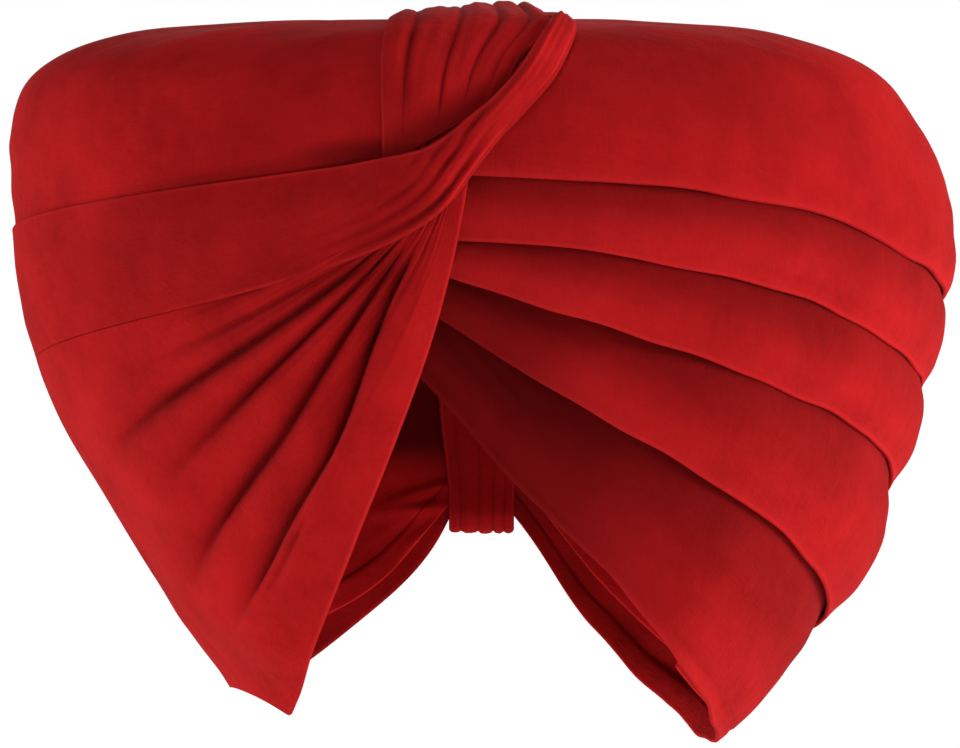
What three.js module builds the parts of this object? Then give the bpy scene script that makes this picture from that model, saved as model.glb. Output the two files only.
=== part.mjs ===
// A red cloth pagri turban, wrapped, pleated and sewn so that it keeps its form off the head.
// Five folded wraps lie over each other like shingles on the wearer's left side. A gathered strap
// passes over the crown. Beside it a roll comes over the crown, crosses the brow and widens to a
// band round the wearer's right side. A drape fans out from under it and falls to a low point.
//
// Units are millimetres. +Z is up and the brow faces -Y. Heights are measured from the lowest hem
// tip, and the finished group is lowered so that its origin is where the crown rests on the head.

import * as THREE from "three";
import { mergeVertices } from "three/addons/utils/BufferGeometryUtils.js";

// Driving sizes of the form that the cloth is laid on.
const WRAP_WIDTH = 306; // across the widest turn, from ear side to ear side
const WRAP_DEPTH = 268; // brow to back at the widest turn
const WRAP_RISE = 236; // lowest hem tip to the underside of the crown

// Cloth and how it is laid.
const CLOTH_WALL = 1.4; // one folded ply
const LAY_GAP = 0.5; // clearance between plies that lie on each other
const TUCK = 14; // how far a ply runs on under the ply above it
const FOLD_STAND = 6.2; // how far a wrap's lower fold stands off the form
const FOLD_STAND_BROW = 4; // the same where the drape presses the wraps flat
const PUFF = 1; // soft bulge of a wrap between its folds
const BROW_SINK = 15; // how far the lowest wrap's end lies inside the form at the brow
const HEM_STAND = 1.8; // how far the lowest hem stands off the form
const STRAP_PLEAT = 2; // height of a pleat on the crown strap
const STRAP_LIFT = 2.8; // how far the strap is lifted over the wraps' ends at the back
const STRAP_EDGE_LIFT = 2.4; // how far the strap's left edge is lifted over the roll's tail on the crown
const ROLL_BULGE = 5.5; // thickness that the bunched roll adds to its ply
const ROLL_LIFT = 4.6; // height of the roll's underside over the form where it crosses the strap
const ROLL_EDGE = 0.6; // share of that height at the roll's lower edge, beside the strap
const DRAPE_LIFT_BROW = 5; // height of the drape's underside over the wraps' tucked ends
const BAND_LIFT_BROW = 8; // height of the band's underside over the form there
const DRAPE_FOLD = 9; // depth of the fan's deepest fold
const LOOP_RISE = 46; // how far the strap's tail runs up inside the back
const TURN_RISE = 0.315; // height of the tail's turn, a share of WRAP_RISE
const LOOP_ROOM = 7; // room inside the form for the hems that the tail passes round

// Angles in degrees: 0 is the brow, 90 the wearer's left side, 180 the back.
const COVER_START_ANGLE = -6; // where the crown panels' edges meet under the strap
const COVER_GAP_ANGLE = 1.2;
const BACK_ANGLE = 177; // where both sides end under the strap at the back
const PRESS_ANGLE = 24; // the folds are pressed flat within this of the back

const HALF_WIDTH = WRAP_WIDTH / 2;
const HALF_DEPTH = WRAP_DEPTH / 2;
const CORE = new THREE.Vector3(0, 0, 0.62 * WRAP_RISE); // every place on the form is seen from here
const CROWN_HOLE = 0.012; // share of the crown's radius that the strap alone covers

// The form in level sections from the hem tips up. The rise is a share of WRAP_RISE, left and
// right are shares of HALF_WIDTH, front and back shares of HALF_DEPTH. Left and right are the
// wearer's, so left is towards +X.
const FORM_SECTIONS = [
  { rise: 0.0, left: 0.5, right: 0.45, front: 0.52, back: 0.54 },
  { rise: 0.072, left: 0.6, right: 0.52, front: 0.6, back: 0.63 },
  { rise: 0.157, left: 0.705, right: 0.615, front: 0.69, back: 0.72 },
  { rise: 0.255, left: 0.808, right: 0.71, front: 0.76, back: 0.79 },
  { rise: 0.36, left: 0.868, right: 0.812, front: 0.81, back: 0.85 },
  { rise: 0.49, left: 0.93, right: 0.907, front: 0.86, back: 0.92 },
  { rise: 0.638, left: 0.985, right: 0.966, front: 0.92, back: 0.98 },
  { rise: 0.766, left: 0.995, right: 1.0, front: 0.95, back: 1.0 },
  { rise: 0.87, left: 0.922, right: 1.0, front: 0.93, back: 0.97 },
  { rise: 0.938, left: 0.83, right: 0.935, front: 0.85, back: 0.88 },
  { rise: 0.98, left: 0.65, right: 0.75, front: 0.68, back: 0.7 },
  { rise: 0.996, left: 0.39, right: 0.4, front: 0.4, back: 0.42 },
  { rise: 1.0, left: 0.0, right: 0.0, front: 0.0, back: 0.0 },
];

// Lower edges, as shares of WRAP_RISE. Each named column is a place round the head, STATION_STEP
// apart. A wrap starts at an angle under the drape, where it sinks by a share of BROW_SINK.
const STATIONS = ["tuck", "brow", "temple", "cheek", "ear", "behind", "nape", "back"];
const STATION_START = -20;
const STATION_STEP = 30;
const WRAP_EDGES = [
  {
    start: -6, sink: 0,
    tuck: 0.784, brow: 0.775, temple: 0.741, cheek: 0.662, ear: 0.609, behind: 0.6, nape: 0.63, back: 0.7,
  },
  {
    start: -6.5, sink: 0,
    tuck: 0.703, brow: 0.684, temple: 0.625, cheek: 0.537, ear: 0.483, behind: 0.46, nape: 0.5, back: 0.6,
  },
  {
    start: -12, sink: 0.1,
    tuck: 0.689, brow: 0.596, temple: 0.5, cheek: 0.412, ear: 0.34, behind: 0.312, nape: 0.38, back: 0.57,
  },
  {
    start: -15, sink: 0.8,
    tuck: 0.647, brow: 0.481, temple: 0.336, cheek: 0.215, ear: 0.163, behind: 0.176, nape: 0.285, back: 0.53,
  },
  {
    start: -20, sink: 1.3,
    tuck: 0.57, brow: 0.306, temple: 0.117, cheek: 0.021, ear: 0.0, behind: 0.036, nape: 0.155, back: 0.45,
  },
];
const UNDER_EDGE_LEFT =
  { tuck: 0.555, brow: 0.294, temple: 0.108, cheek: 0.034, ear: 0.034, behind: 0.085, nape: 0.215, back: 0.5 };
const UNDER_EDGE_RIGHT =
  { tuck: 0.7, brow: 0.5, temple: 0.25, cheek: 0.14, ear: 0.13, behind: 0.14, nape: 0.21, back: 0.42 };
const UNDER_TOP = 0.54; // upper edge of both under wraps, a share of WRAP_RISE
const UNDER_START_ANGLE = 42; // where they begin behind the brow

// The fan drape's folds from its front hem to the edge tucked under the band. The gather is the
// fold's place on the knot, where the drape comes out from under the band. Each fold bends towards
// one place on the form and ends at another, given as an angle from the brow and a share of
// WRAP_RISE. The depth is a share of DRAPE_FOLD, and the fold has smoothed out at its reach.
const DRAPE_FOLDS = [
  { gather: 0.0, bendAngle: 9, bendRise: 0.2, endAngle: 54, endRise: 0.043, depth: 1.0, reach: 1.0 },
  { gather: 0.35, bendAngle: 12, bendRise: 0.28, endAngle: 72, endRise: 0.077, depth: 1.0, reach: 1.0 },
  { gather: 0.55, bendAngle: 19, bendRise: 0.33, endAngle: 104, endRise: 0.08, depth: 0.9, reach: 0.85 },
  { gather: 0.65, bendAngle: 28, bendRise: 0.34, endAngle: 136, endRise: 0.102, depth: 0.55, reach: 0.7 },
  { gather: 0.75, bendAngle: 37, bendRise: 0.36, endAngle: 165, endRise: 0.212, depth: 0.5, reach: 0.65 },
  { gather: 0.9, bendAngle: 32, bendRise: 0.49, endAngle: 177, endRise: 0.35, depth: 0.2, reach: 0.5 },
  { gather: 1.0, bendAngle: 16, bendRise: 0.62, endAngle: 177, endRise: 0.52, depth: 0.0, reach: 0.3 },
];
const KNOT = { frontX: -0.022, front: 0.782, sideX: -0.1, side: 0.772 }; // shares as in ROLL_LINES

// The band's two edges beyond the knot, as a fold's bend and end.
const BAND_EDGES = [
  { bendAngle: 11, bendRise: 0.55, endAngle: 177, endRise: 0.476 },
  { bendAngle: 28, bendRise: 0.762, endAngle: 177, endRise: 0.64 },
];
const KNOT_SHARE = 0.36; // share of the band's rows that lie before the knot
const COVER_EDGE = // the band's top edge, which the crown panel runs under
  { tuck: 0.822, brow: 0.818, temple: 0.774, cheek: 0.735, ear: 0.7, behind: 0.665, nape: 0.645, back: 0.64 };

// Cross-lines of the roll from its tail under the strap to the knot. On the crown they are placed
// by x and y, on the brow by x and height, as shares of HALF_WIDTH, HALF_DEPTH and WRAP_RISE.
const ROLL_LINES = [
  { on: "crown", lowX: 0.13, low: 0.12, highX: 0.03, high: 0.12, lift: 0.1 },
  { on: "crown", lowX: 0.185, low: -0.22, highX: 0.085, high: -0.22, lift: 0.1 },
  { on: "crown", lowX: 0.197, low: -0.54, highX: 0.142, high: -0.54, lift: 0.12 },
  { on: "brow", lowX: 0.203, low: 0.972, highX: 0.147, high: 0.972, lift: 0.8 },
  { on: "brow", lowX: 0.16, low: 0.915, highX: 0.095, high: 0.922, lift: 1.0 },
  { on: "brow", lowX: 0.083, low: 0.859, highX: 0.032, high: 0.879, lift: 1.1 },
  { on: "brow", lowX: 0.033, low: 0.825, highX: -0.013, high: 0.856, lift: 1.25 },
  { on: "brow", lowX: -0.033, low: 0.77, highX: -0.098, high: 0.815, lift: 1.15 },
];

// Cross-lines of the crown strap from its foot under the roll, over the crown and down the back.
const STRAP_LINES = [
  { on: "brow", lowX: -0.203, low: 0.79, highX: 0.045, high: 0.875, lift: 0.7, tilt: 0 },
  { on: "brow", lowX: -0.206, low: 0.87, highX: 0.08, high: 0.93, lift: 0.5, tilt: 0 },
  { on: "brow", lowX: -0.205, low: 0.965, highX: 0.11, high: 0.972, lift: 0.4, tilt: 0 },
  { on: "crown", lowX: -0.2, low: -0.52, highX: 0.11, high: -0.52, lift: 0.4, tilt: 0.1 },
  { on: "crown", lowX: -0.19, low: -0.2, highX: 0.125, high: -0.2, lift: 0, tilt: 1 },
  { on: "crown", lowX: -0.18, low: 0.15, highX: 0.14, high: 0.15, lift: 0, tilt: 1 },
  { on: "crown", lowX: -0.165, low: 0.5, highX: 0.14, high: 0.5, lift: 0.3, tilt: 0.2 },
  { on: "back", lowX: -0.145, low: 0.955, highX: 0.13, high: 0.955, lift: 0.7, tilt: 0 },
  { on: "back", lowX: -0.12, low: 0.78, highX: 0.118, high: 0.78, lift: 0.8, tilt: 0 },
  { on: "back", lowX: -0.09, low: 0.56, highX: 0.09, high: 0.56, lift: 1, tilt: 0 },
  { on: "back", lowX: -0.055, low: 0.38, highX: 0.065, high: 0.38, lift: 1, tilt: 0 },
];
// The valleys between the strap's pleats, as shares of its breadth and of STRAP_PLEAT.
const STRAP_VALLEYS = [
  { share: 0.0, height: 0.5 },
  { share: 0.18, height: 0.7 },
  { share: 0.45, height: 1.0 },
  { share: 0.66, height: 1.0 },
  { share: 0.82, height: 0.9 },
  { share: 1.0, height: 0.8 },
];
const STRAP_OVER_SHARE = 0.76; // share of its rows that lie on the outside
const STRAP_TAIL_WIDTH = 22; // the gathered tail inside the back
const STRAP_TAIL_SIDE = 0.5; // how far the tail's middle lies towards the wearer's left

const RED_CLOTH = { roughness: 0.82, metalness: 0 };

const radians = THREE.MathUtils.degToRad;
const mix = THREE.MathUtils.lerp;
const ease = THREE.MathUtils.smoothstep;

// One column of a table at a place between its rows, on a smooth curve through them.
function between(rows, column, place) {
  const last = rows.length - 1;
  const row = THREE.MathUtils.clamp(Math.floor(place), 0, last - 1);
  const t = place - row;
  const value = (k) => rows[THREE.MathUtils.clamp(k, 0, last)][column];
  const [a, b, c, d] = [value(row - 1), value(row), value(row + 1), value(row + 2)];
  return 0.5 * (2 * b + (c - a) * t + (2 * a - 5 * b + 4 * c - d) * t * t + (3 * b - a - 3 * c + d) * t ** 3);
}

// The form's sizes at finely spaced heights, in millimetres.
const FORM_STEPS = 480;
const FORM_LEVELS = Array.from({ length: FORM_STEPS + 1 }, (_, k) => {
  const place = (k / FORM_STEPS) * (FORM_SECTIONS.length - 1);
  return {
    z: between(FORM_SECTIONS, "rise", place) * WRAP_RISE,
    left: between(FORM_SECTIONS, "left", place) * HALF_WIDTH,
    right: between(FORM_SECTIONS, "right", place) * HALF_WIDTH,
    front: between(FORM_SECTIONS, "front", place) * HALF_DEPTH,
    back: between(FORM_SECTIONS, "back", place) * HALF_DEPTH,
  };
});

// The form's half widths and depths at one height.
function formAt(z) {
  let low = 0;
  let high = FORM_STEPS;
  while (high - low > 1) {
    const middle = (low + high) >> 1;
    if (FORM_LEVELS[middle].z < z) low = middle;
    else high = middle;
  }
  const [a, b] = [FORM_LEVELS[low], FORM_LEVELS[high]];
  const t = THREE.MathUtils.clamp((z - a.z) / (b.z - a.z), -1, 1);
  const size = {};
  for (const side of ["left", "right", "front", "back"]) size[side] = mix(a[side], b[side], t);
  return size;
}

// The place on the form at an angle round the head and a height.
function formPoint(angle, z) {
  const size = formAt(z);
  const [s, c] = [Math.sin(radians(angle)), Math.cos(radians(angle))];
  return new THREE.Vector3(s * (s > 0 ? size.left : size.right), -c * (c > 0 ? size.front : size.back), z);
}

// Whether a point lies within the form.
function within(p) {
  if (p.z >= WRAP_RISE) return false;
  const size = formAt(p.z);
  const x = p.x / (p.x > 0 ? size.left : size.right);
  const y = p.y / (p.y > 0 ? size.back : size.front);
  return x * x + y * y < 1;
}

// The place where the line from the core through a guide point leaves the form.
function onForm(guide) {
  const way = guide.clone().sub(CORE).normalize();
  let near = 0;
  let far = WRAP_WIDTH;
  for (let k = 0; k < 40; k++) {
    const middle = (near + far) / 2;
    if (within(way.clone().multiplyScalar(middle).add(CORE))) near = middle;
    else far = middle;
  }
  return way.multiplyScalar(near).add(CORE);
}

// The form's outward direction at a guide point.
function formNormal(guide) {
  const way = guide.clone().sub(CORE);
  const nudge = 0.02 * way.length();
  const across = new THREE.Vector3(-way.y, way.x, 0).normalize().multiplyScalar(nudge);
  if (across.lengthSq() === 0) across.set(nudge, 0, 0);
  const up = way.clone().cross(across).normalize().multiplyScalar(nudge);
  const side = onForm(guide.clone().add(across)).sub(onForm(guide.clone().sub(across)));
  const rise = onForm(guide.clone().add(up)).sub(onForm(guide.clone().sub(up)));
  const normal = side.cross(rise).normalize();
  return normal.dot(way) < 0 ? normal.negate() : normal;
}

// A closed sheet: a flat box of columns by rows, bent so that lay(u, v) gives each place's guide
// point, the height of its outer face over the form, and its wall.
function sheet(columns, rows, lay) {
  const box = new THREE.BoxGeometry(1, 1, 1, columns, rows, 1);
  const position = box.getAttribute("position");
  for (let k = 0; k < position.count; k++) {
    const outer = position.getZ(k) > 0;
    const { guide, out, wall, normal } = lay(position.getX(k) + 0.5, position.getY(k) + 0.5);
    const lift = outer ? out : out - wall;
    const point = (normal ? guide.clone() : onForm(guide)).addScaledVector(normal ?? formNormal(guide), lift);
    position.setXYZ(k, point.x, point.y, point.z);
  }
  box.deleteAttribute("normal");
  box.deleteAttribute("uv");
  const solid = mergeVertices(box, 1e-3);
  solid.computeVertexNormals();
  return solid;
}

// Height of an edge at an angle round the head, from a row of shares.
function edgeHeight(edge, angle) {
  const rows = STATIONS.map((name) => ({ rise: edge[name] }));
  return between(rows, "rise", (angle - STATION_START) / STATION_STEP) * WRAP_RISE;
}

// How far a lower fold stands off at an angle round the head.
function foldStand(angle, full) {
  const brow = Math.min(full, FOLD_STAND_BROW);
  const open = mix(brow, full, ease(angle, 0, 26));
  const pressed = Math.min(open, 2 * CLOTH_WALL + LAY_GAP);
  return mix(open, pressed, ease(angle, BACK_ANGLE - PRESS_ANGLE, BACK_ANGLE - 0.4 * PRESS_ANGLE));
}

// One folded wrap on the wearer's left side, from its lower fold to its tucked upper edge.
function wrap(index) {
  const edge = WRAP_EDGES[index];
  const above = WRAP_EDGES[index - 1];
  const lowest = index === WRAP_EDGES.length - 1;
  return sheet(26, 4, (u, v) => {
    const angle = mix(edge.start, BACK_ANGLE, u);
    const t = v ** 1.3;
    const [low, high] = [edgeHeight(edge, angle), edgeHeight(above, angle) + TUCK];
    const stand = foldStand(angle, lowest ? HEM_STAND + CLOTH_WALL : FOLD_STAND);
    const sink = BROW_SINK * edge.sink * (1 - ease(angle, 0, 40));
    const out = stand * (1 - t) ** 1.6 + 0.55 * PUFF * Math.sin(Math.PI * t) ** 2 - sink;
    return { guide: formPoint(angle, mix(low, high, t)), out, wall: CLOTH_WALL };
  });
}

// The uppermost wrap, which runs on over the shoulder to the middle of the crown.
function crownWrap() {
  return sheet(30, 12, (u, v) => {
    const angle = mix(COVER_START_ANGLE, BACK_ANGLE, u);
    const low = edgeHeight(WRAP_EDGES[0], angle);
    const { guide, above } = upToCrown(angle, low, v);
    const out = mix(foldStand(angle, FOLD_STAND), CLOTH_WALL, ease(above, 0, 3 * TUCK));
    return { guide, out, wall: CLOTH_WALL };
  });
}

// A guide point v of the way from a height on the side up to the middle of the crown, and how far
// above that height it is.
function upToCrown(angle, low, v) {
  const start = FORM_LEVELS.findIndex((level) => level.z >= low);
  const place = mix(start, FORM_STEPS * (1 - CROWN_HOLE), v ** 0.9);
  const k = Math.floor(place);
  const [a, b] = [FORM_LEVELS[k], FORM_LEVELS[Math.min(k + 1, FORM_STEPS)]];
  const z = Math.max(mix(a.z, b.z, place - k), low);
  return { guide: formPoint(angle, z), above: z - low };
}

// The crown panel on the wearer's right, from under the drape's top edge to the middle.
function crownCover() {
  return sheet(28, 11, (u, v) => {
    const angle = mix(COVER_START_ANGLE - COVER_GAP_ANGLE, -BACK_ANGLE, 1 - u);
    const low = edgeHeight(COVER_EDGE, -angle) - TUCK;
    const { guide, above } = upToCrown(angle, low, v);
    return { guide, out: CLOTH_WALL * ease(above, 0, TUCK), wall: CLOTH_WALL };
  });
}

// An inner wrap on one side, whose hem shows inside the opening. The side is 1 for the wearer's
// left and -1 for the right.
function underWrap(edge, side, lift) {
  return sheet(20, 3, (u, v) => {
    const angle = mix(UNDER_START_ANGLE, BACK_ANGLE, side > 0 ? u : 1 - u);
    const z = mix(edgeHeight(edge, angle), UNDER_TOP * WRAP_RISE, v);
    return { guide: formPoint(side * angle, z), out: -lift, wall: CLOTH_WALL };
  });
}

// A place on the front half of the form at an x and a height.
function onBrow(x, z) {
  const size = formAt(z);
  const share = x / (x > 0 ? size.left : size.right);
  return new THREE.Vector3(x, -size.front * Math.sqrt(1 - share * share), z);
}

// A place on the back half of the form at an x and a height.
function onBack(x, z) {
  const size = formAt(z);
  const share = x / (x > 0 ? size.left : size.right);
  return new THREE.Vector3(x, size.back * Math.sqrt(1 - share * share), z);
}

// One end of a cross-line as a guide point.
function lineEnd(line, x, other) {
  if (line.on === "crown") return onForm(new THREE.Vector3(x * HALF_WIDTH, other * HALF_DEPTH, WRAP_RISE));
  return (line.on === "brow" ? onBrow : onBack)(x * HALF_WIDTH, other * WRAP_RISE);
}

// The two long edges of a band given by its cross-lines.
function bandEdges(lines) {
  const low = new THREE.CatmullRomCurve3(lines.map((line) => lineEnd(line, line.lowX, line.low)));
  const high = new THREE.CatmullRomCurve3(lines.map((line) => lineEnd(line, line.highX, line.high)));
  return { low, high };
}

const roll = bandEdges(ROLL_LINES);
const strap = bandEdges(STRAP_LINES);

// The place t of the way from a start along a bend to an end, as a guide point on the wearer's
// right, and its angle. The start is an angle and a height.
function bendPoint(start, bend, t) {
  const along = (a, b, c) => (1 - t) ** 2 * a + 2 * t * (1 - t) * b + t * t * c;
  const angle = along(start.angle, bend.bendAngle, bend.endAngle);
  const z = along(start.z, bend.bendRise * WRAP_RISE, bend.endRise * WRAP_RISE);
  return { guide: formPoint(-angle, Math.max(z, 0)), angle };
}

// The angle from the brow and the height of a place on the front of the form.
function startOf(point) {
  const share = THREE.MathUtils.clamp(-point.x / formAt(point.z).right, -1, 1);
  return { angle: THREE.MathUtils.radToDeg(Math.asin(share)), z: point.z };
}

// The roll and the band that it widens to: u runs from the lower to the upper edge, v from the
// roll's tail over the crown to the band's end at the back.
function bandLay(u, v) {
  const bulge = ROLL_BULGE * Math.sin(Math.PI * u) ** 0.6;
  const toKnot = Math.min(v / KNOT_SHARE, 1);
  const t = Math.max((v - KNOT_SHARE) / (1 - KNOT_SHARE), 0);
  const cross = roll.low.getPoint(toKnot).lerp(roll.high.getPoint(toKnot), u);
  const lift = Math.max(between(ROLL_LINES, "lift", toKnot * (ROLL_LINES.length - 1)), 0);
  const edge = Math.max(ease(u, 0, 0.35), ease(toKnot, 0.7, 0.95));
  const under = CLOTH_WALL + LAY_GAP + ROLL_LIFT * lift * mix(ROLL_EDGE, 1, edge);
  if (t === 0) {
    const thick = bulge * ease(toKnot, 0.2, 0.75);
    return { guide: cross, out: under + CLOTH_WALL + thick, wall: CLOTH_WALL + thick };
  }
  const bend = {};
  for (const key of Object.keys(BAND_EDGES[0])) bend[key] = mix(BAND_EDGES[0][key], BAND_EDGES[1][key], u);
  const { guide, angle } = bendPoint(startOf(cross), bend, t);
  const rest = mix(BAND_LIFT_BROW, CLOTH_WALL + 3 * LAY_GAP, ease(angle, 17, 55));
  const thick = bulge * (1 - ease(t, 0, 0.2));
  return { guide, out: mix(under, rest, ease(t, 0, 0.1)) + CLOTH_WALL + thick, wall: CLOTH_WALL + thick };
}

// The fan drape: u runs from the front hem to the edge under the band, v from the knot outwards.
function drapeLay(u, t) {
  const place = u * (DRAPE_FOLDS.length - 1);
  const column = (name) => between(DRAPE_FOLDS, name, place);
  const gather = column("gather");
  const x = mix(KNOT.frontX, KNOT.sideX, gather) * HALF_WIDTH;
  const start = startOf(onBrow(x, mix(KNOT.front, KNOT.side, gather) * WRAP_RISE));
  const bend = {};
  for (const key of Object.keys(BAND_EDGES[0])) bend[key] = column(key);
  const { guide, angle } = bendPoint(start, bend, t);
  const under = mix(DRAPE_LIFT_BROW, LAY_GAP, ease(angle, 17, 40));
  const reach = column("reach");
  const ridge = DRAPE_FOLD * foldRidge(place) * ease(t, 0.08, 0.2) * (1 - ease(t, 0.55 * reach, reach));
  return { guide, out: under + CLOTH_WALL + ridge, wall: CLOTH_WALL };
}

// Height of the fan's cloth between its folds: nothing in a fold's valley, 1 at most on a ridge.
function foldRidge(place) {
  const k = Math.min(Math.floor(place), DRAPE_FOLDS.length - 2);
  const t = place - k;
  const depth = mix(DRAPE_FOLDS[k].depth, DRAPE_FOLDS[k + 1].depth, t);
  return depth * Math.sin(Math.PI * t) ** 1.2 * 0.6;
}

// The crown strap: pleated over the crown, drawn together down the back, and turned round the hems
// so that its tail runs up inside.
function strapLay(u, v) {
  const place = u * (STRAP_VALLEYS.length - 1);
  const across = between(STRAP_VALLEYS, "share", place);
  const height = between(STRAP_VALLEYS, "height", place);
  const pleat = STRAP_PLEAT * height * Math.abs(Math.sin(Math.PI * place)) ** 0.7;
  if (v <= STRAP_OVER_SHARE) {
    const along = v / STRAP_OVER_SHARE;
    const guide = strap.low.getPoint(along).lerp(strap.high.getPoint(along), across);
    const row = along * (STRAP_LINES.length - 1);
    const lift = STRAP_LIFT * between(STRAP_LINES, "lift", row);
    const tilt = STRAP_EDGE_LIFT * between(STRAP_LINES, "tilt", row) * ease(across, 0.2, 0.8);
    const out = 2 * CLOTH_WALL + LAY_GAP + lift + tilt + pleat * ease(along, 0.02, 0.12);
    return { guide, out, wall: CLOTH_WALL };
  }
  return tailLay(across, (v - STRAP_OVER_SHARE) / (1 - STRAP_OVER_SHARE), pleat);
}

// The strap's tail from the back, round the hems and up inside, w of the way along.
function tailLay(u, w, pleat) {
  const start = STRAP_LINES.at(-1);
  const top = onBack(0, start.low * WRAP_RISE);
  const turnZ = TURN_RISE * WRAP_RISE;
  const outer = 2 * CLOTH_WALL + LAY_GAP + STRAP_LIFT;
  const radius = (LOOP_ROOM + outer + LAY_GAP) / 2;
  const down = top.z - turnZ;
  const turn = Math.PI * radius;
  const total = down + turn + LOOP_RISE;
  const path = w * total;
  const foot = onBack(0, turnZ);
  const middleY = foot.y + outer - radius;
  const x = mix(
    mix(start.lowX, start.highX, u) * HALF_WIDTH,
    STRAP_TAIL_WIDTH * (u - 0.5) + STRAP_TAIL_SIDE,
    ease(path, 0, down + turn / 2),
  );
  let [y, z, ny, nz] = [0, 0, 0, 0];
  if (path < down) {
    z = top.z - path;
    const lean = formNormal(onBack(0, z));
    [ny, nz] = [lean.y, lean.z];
    y = onBack(0, z).y + outer * lean.y;
    z += outer * lean.z;
  } else if (path < down + turn) {
    const a = (path - down) / radius;
    [ny, nz] = [Math.cos(a), -Math.sin(a)];
    y = middleY + radius * ny;
    z = turnZ + radius * nz;
  } else {
    const rise = path - down - turn;
    [ny, nz] = [-1, 0];
    z = turnZ + rise;
    y = middleY - radius + (onBack(0, z).y - foot.y);
  }
  const bow = onBack(x, Math.max(z, turnZ)).y - onBack(0, Math.max(z, turnZ)).y;
  return {
    guide: new THREE.Vector3(x, y + bow, z),
    normal: new THREE.Vector3(0, ny, nz),
    out: pleat * 0.6,
    wall: CLOTH_WALL,
  };
}

// A named piece of the turban in its own shade of the red cloth.
function piece(name, geometry, colour) {
  const mesh = new THREE.Mesh(geometry, new THREE.MeshStandardMaterial({ color: colour, ...RED_CLOTH }));
  mesh.name = name;
  return mesh;
}

const turban = new THREE.Group();
turban.position.z = -WRAP_RISE;
turban.add(piece("wrap_left_1", crownWrap(), 0xb01a1c));
for (let k = 1; k < WRAP_EDGES.length; k++) turban.add(piece(`wrap_left_${k + 1}`, wrap(k), 0xa81819));
turban.add(piece("under_wrap_left", underWrap(UNDER_EDGE_LEFT, 1, CLOTH_WALL + LAY_GAP), 0x8c1516));
turban.add(piece("under_wrap_right", underWrap(UNDER_EDGE_RIGHT, -1, 2 * LAY_GAP), 0x8c1516));
turban.add(piece("crown_cover", crownCover(), 0xa01718));
turban.add(piece("crossing_band", sheet(8, 30, bandLay), 0xb01a1c));
turban.add(piece("fan_drape", sheet(24, 18, drapeLay), 0xb81b1e));
turban.add(piece("crown_strap", sheet(20, 29, strapLay), 0xa81819));

export default turban;
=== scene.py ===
"""A red cotton pagri turban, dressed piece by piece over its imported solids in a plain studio."""

import logging
import math
from dataclasses import dataclass, field
from enum import Enum
import bmesh
import bpy
import numpy as np
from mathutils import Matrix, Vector


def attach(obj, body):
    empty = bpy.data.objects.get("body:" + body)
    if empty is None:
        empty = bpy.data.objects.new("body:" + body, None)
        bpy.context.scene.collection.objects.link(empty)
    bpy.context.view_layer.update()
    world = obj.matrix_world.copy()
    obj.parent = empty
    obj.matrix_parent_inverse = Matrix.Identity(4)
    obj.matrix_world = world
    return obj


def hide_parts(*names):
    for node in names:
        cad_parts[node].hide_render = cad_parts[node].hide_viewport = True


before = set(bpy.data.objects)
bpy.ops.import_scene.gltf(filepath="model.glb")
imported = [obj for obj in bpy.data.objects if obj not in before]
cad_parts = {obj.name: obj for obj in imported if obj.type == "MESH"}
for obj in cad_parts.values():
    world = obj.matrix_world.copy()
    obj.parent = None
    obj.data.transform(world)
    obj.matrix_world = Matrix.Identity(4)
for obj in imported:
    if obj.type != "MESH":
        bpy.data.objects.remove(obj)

logging.basicConfig(level=logging.INFO, format="%(message)s")
log = logging.getLogger("turban")

MM = 0.001
Array = np.ndarray
Colour = tuple[float, float, float]
Socket = bpy.types.NodeSocket


class Hold(Enum):
    """How a sheet of cloth is held."""

    GATHERED = "gathered"
    STRETCHED = "stretched"


class Ground(Enum):
    """The side of the form that a cross-line lies on."""

    BROW = "brow"
    CROWN = "crown"
    BACK = "back"


def mix(a: Array, b: Array, t: Array) -> Array:
    """The value t of the way from a to b."""
    return a + (b - a) * t


def ease(x: Array, low: float, high: float) -> Array:
    """A smooth step from 0 at low to 1 at high."""
    t = np.clip((x - low) / (high - low), 0, 1)
    return t * t * (3 - 2 * t)


def fade(x: Array, low: float, high: float) -> Array:
    """A smooth step from 1 at low to 0 at high."""
    return 1 - ease(x, low, high)


def sweep(t: Array, start: Array, bend: Array, end: Array) -> Array:
    """The value t of the way from a start past a bend to an end."""
    return (1 - t) ** 2 * start + 2 * t * (1 - t) * bend + t**2 * end


def turn_of(point: Array) -> Array:
    """Degrees from the brow towards the wearer's right at which points are seen from above."""
    return np.degrees(np.arctan2(-point[..., 0], -point[..., 1]))


def run(points: Array, axis: int) -> Array:
    """Distances between a grid's points, summed along one of its axes."""
    steps = np.linalg.norm(np.diff(points, axis=axis), axis=-1)
    return np.concatenate([0 * steps.take([0], axis=axis), np.cumsum(steps, axis=axis)], axis=axis)


def spline(rows: Array, place: Array) -> Array:
    """Reads a table between its rows, on a smooth curve through them.

    Args:
        rows: Table of n rows, with or without columns.
        place: Row numbers with fractions.

    Returns:
        The values at each place.
    """
    last = len(rows) - 1
    row = np.clip(np.floor(place).astype(int), 0, last - 1)
    t = place - row
    if rows.ndim == 2:
        t = t[..., None]
    a, b, c, d = (rows[np.clip(row + k, 0, last)] for k in (-1, 0, 1, 2))
    return 0.5 * (2 * b + (c - a) * t + (2 * a - 5 * b + 4 * c - d) * t**2 + (3 * b - a - 3 * c + d) * t**3)


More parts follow.
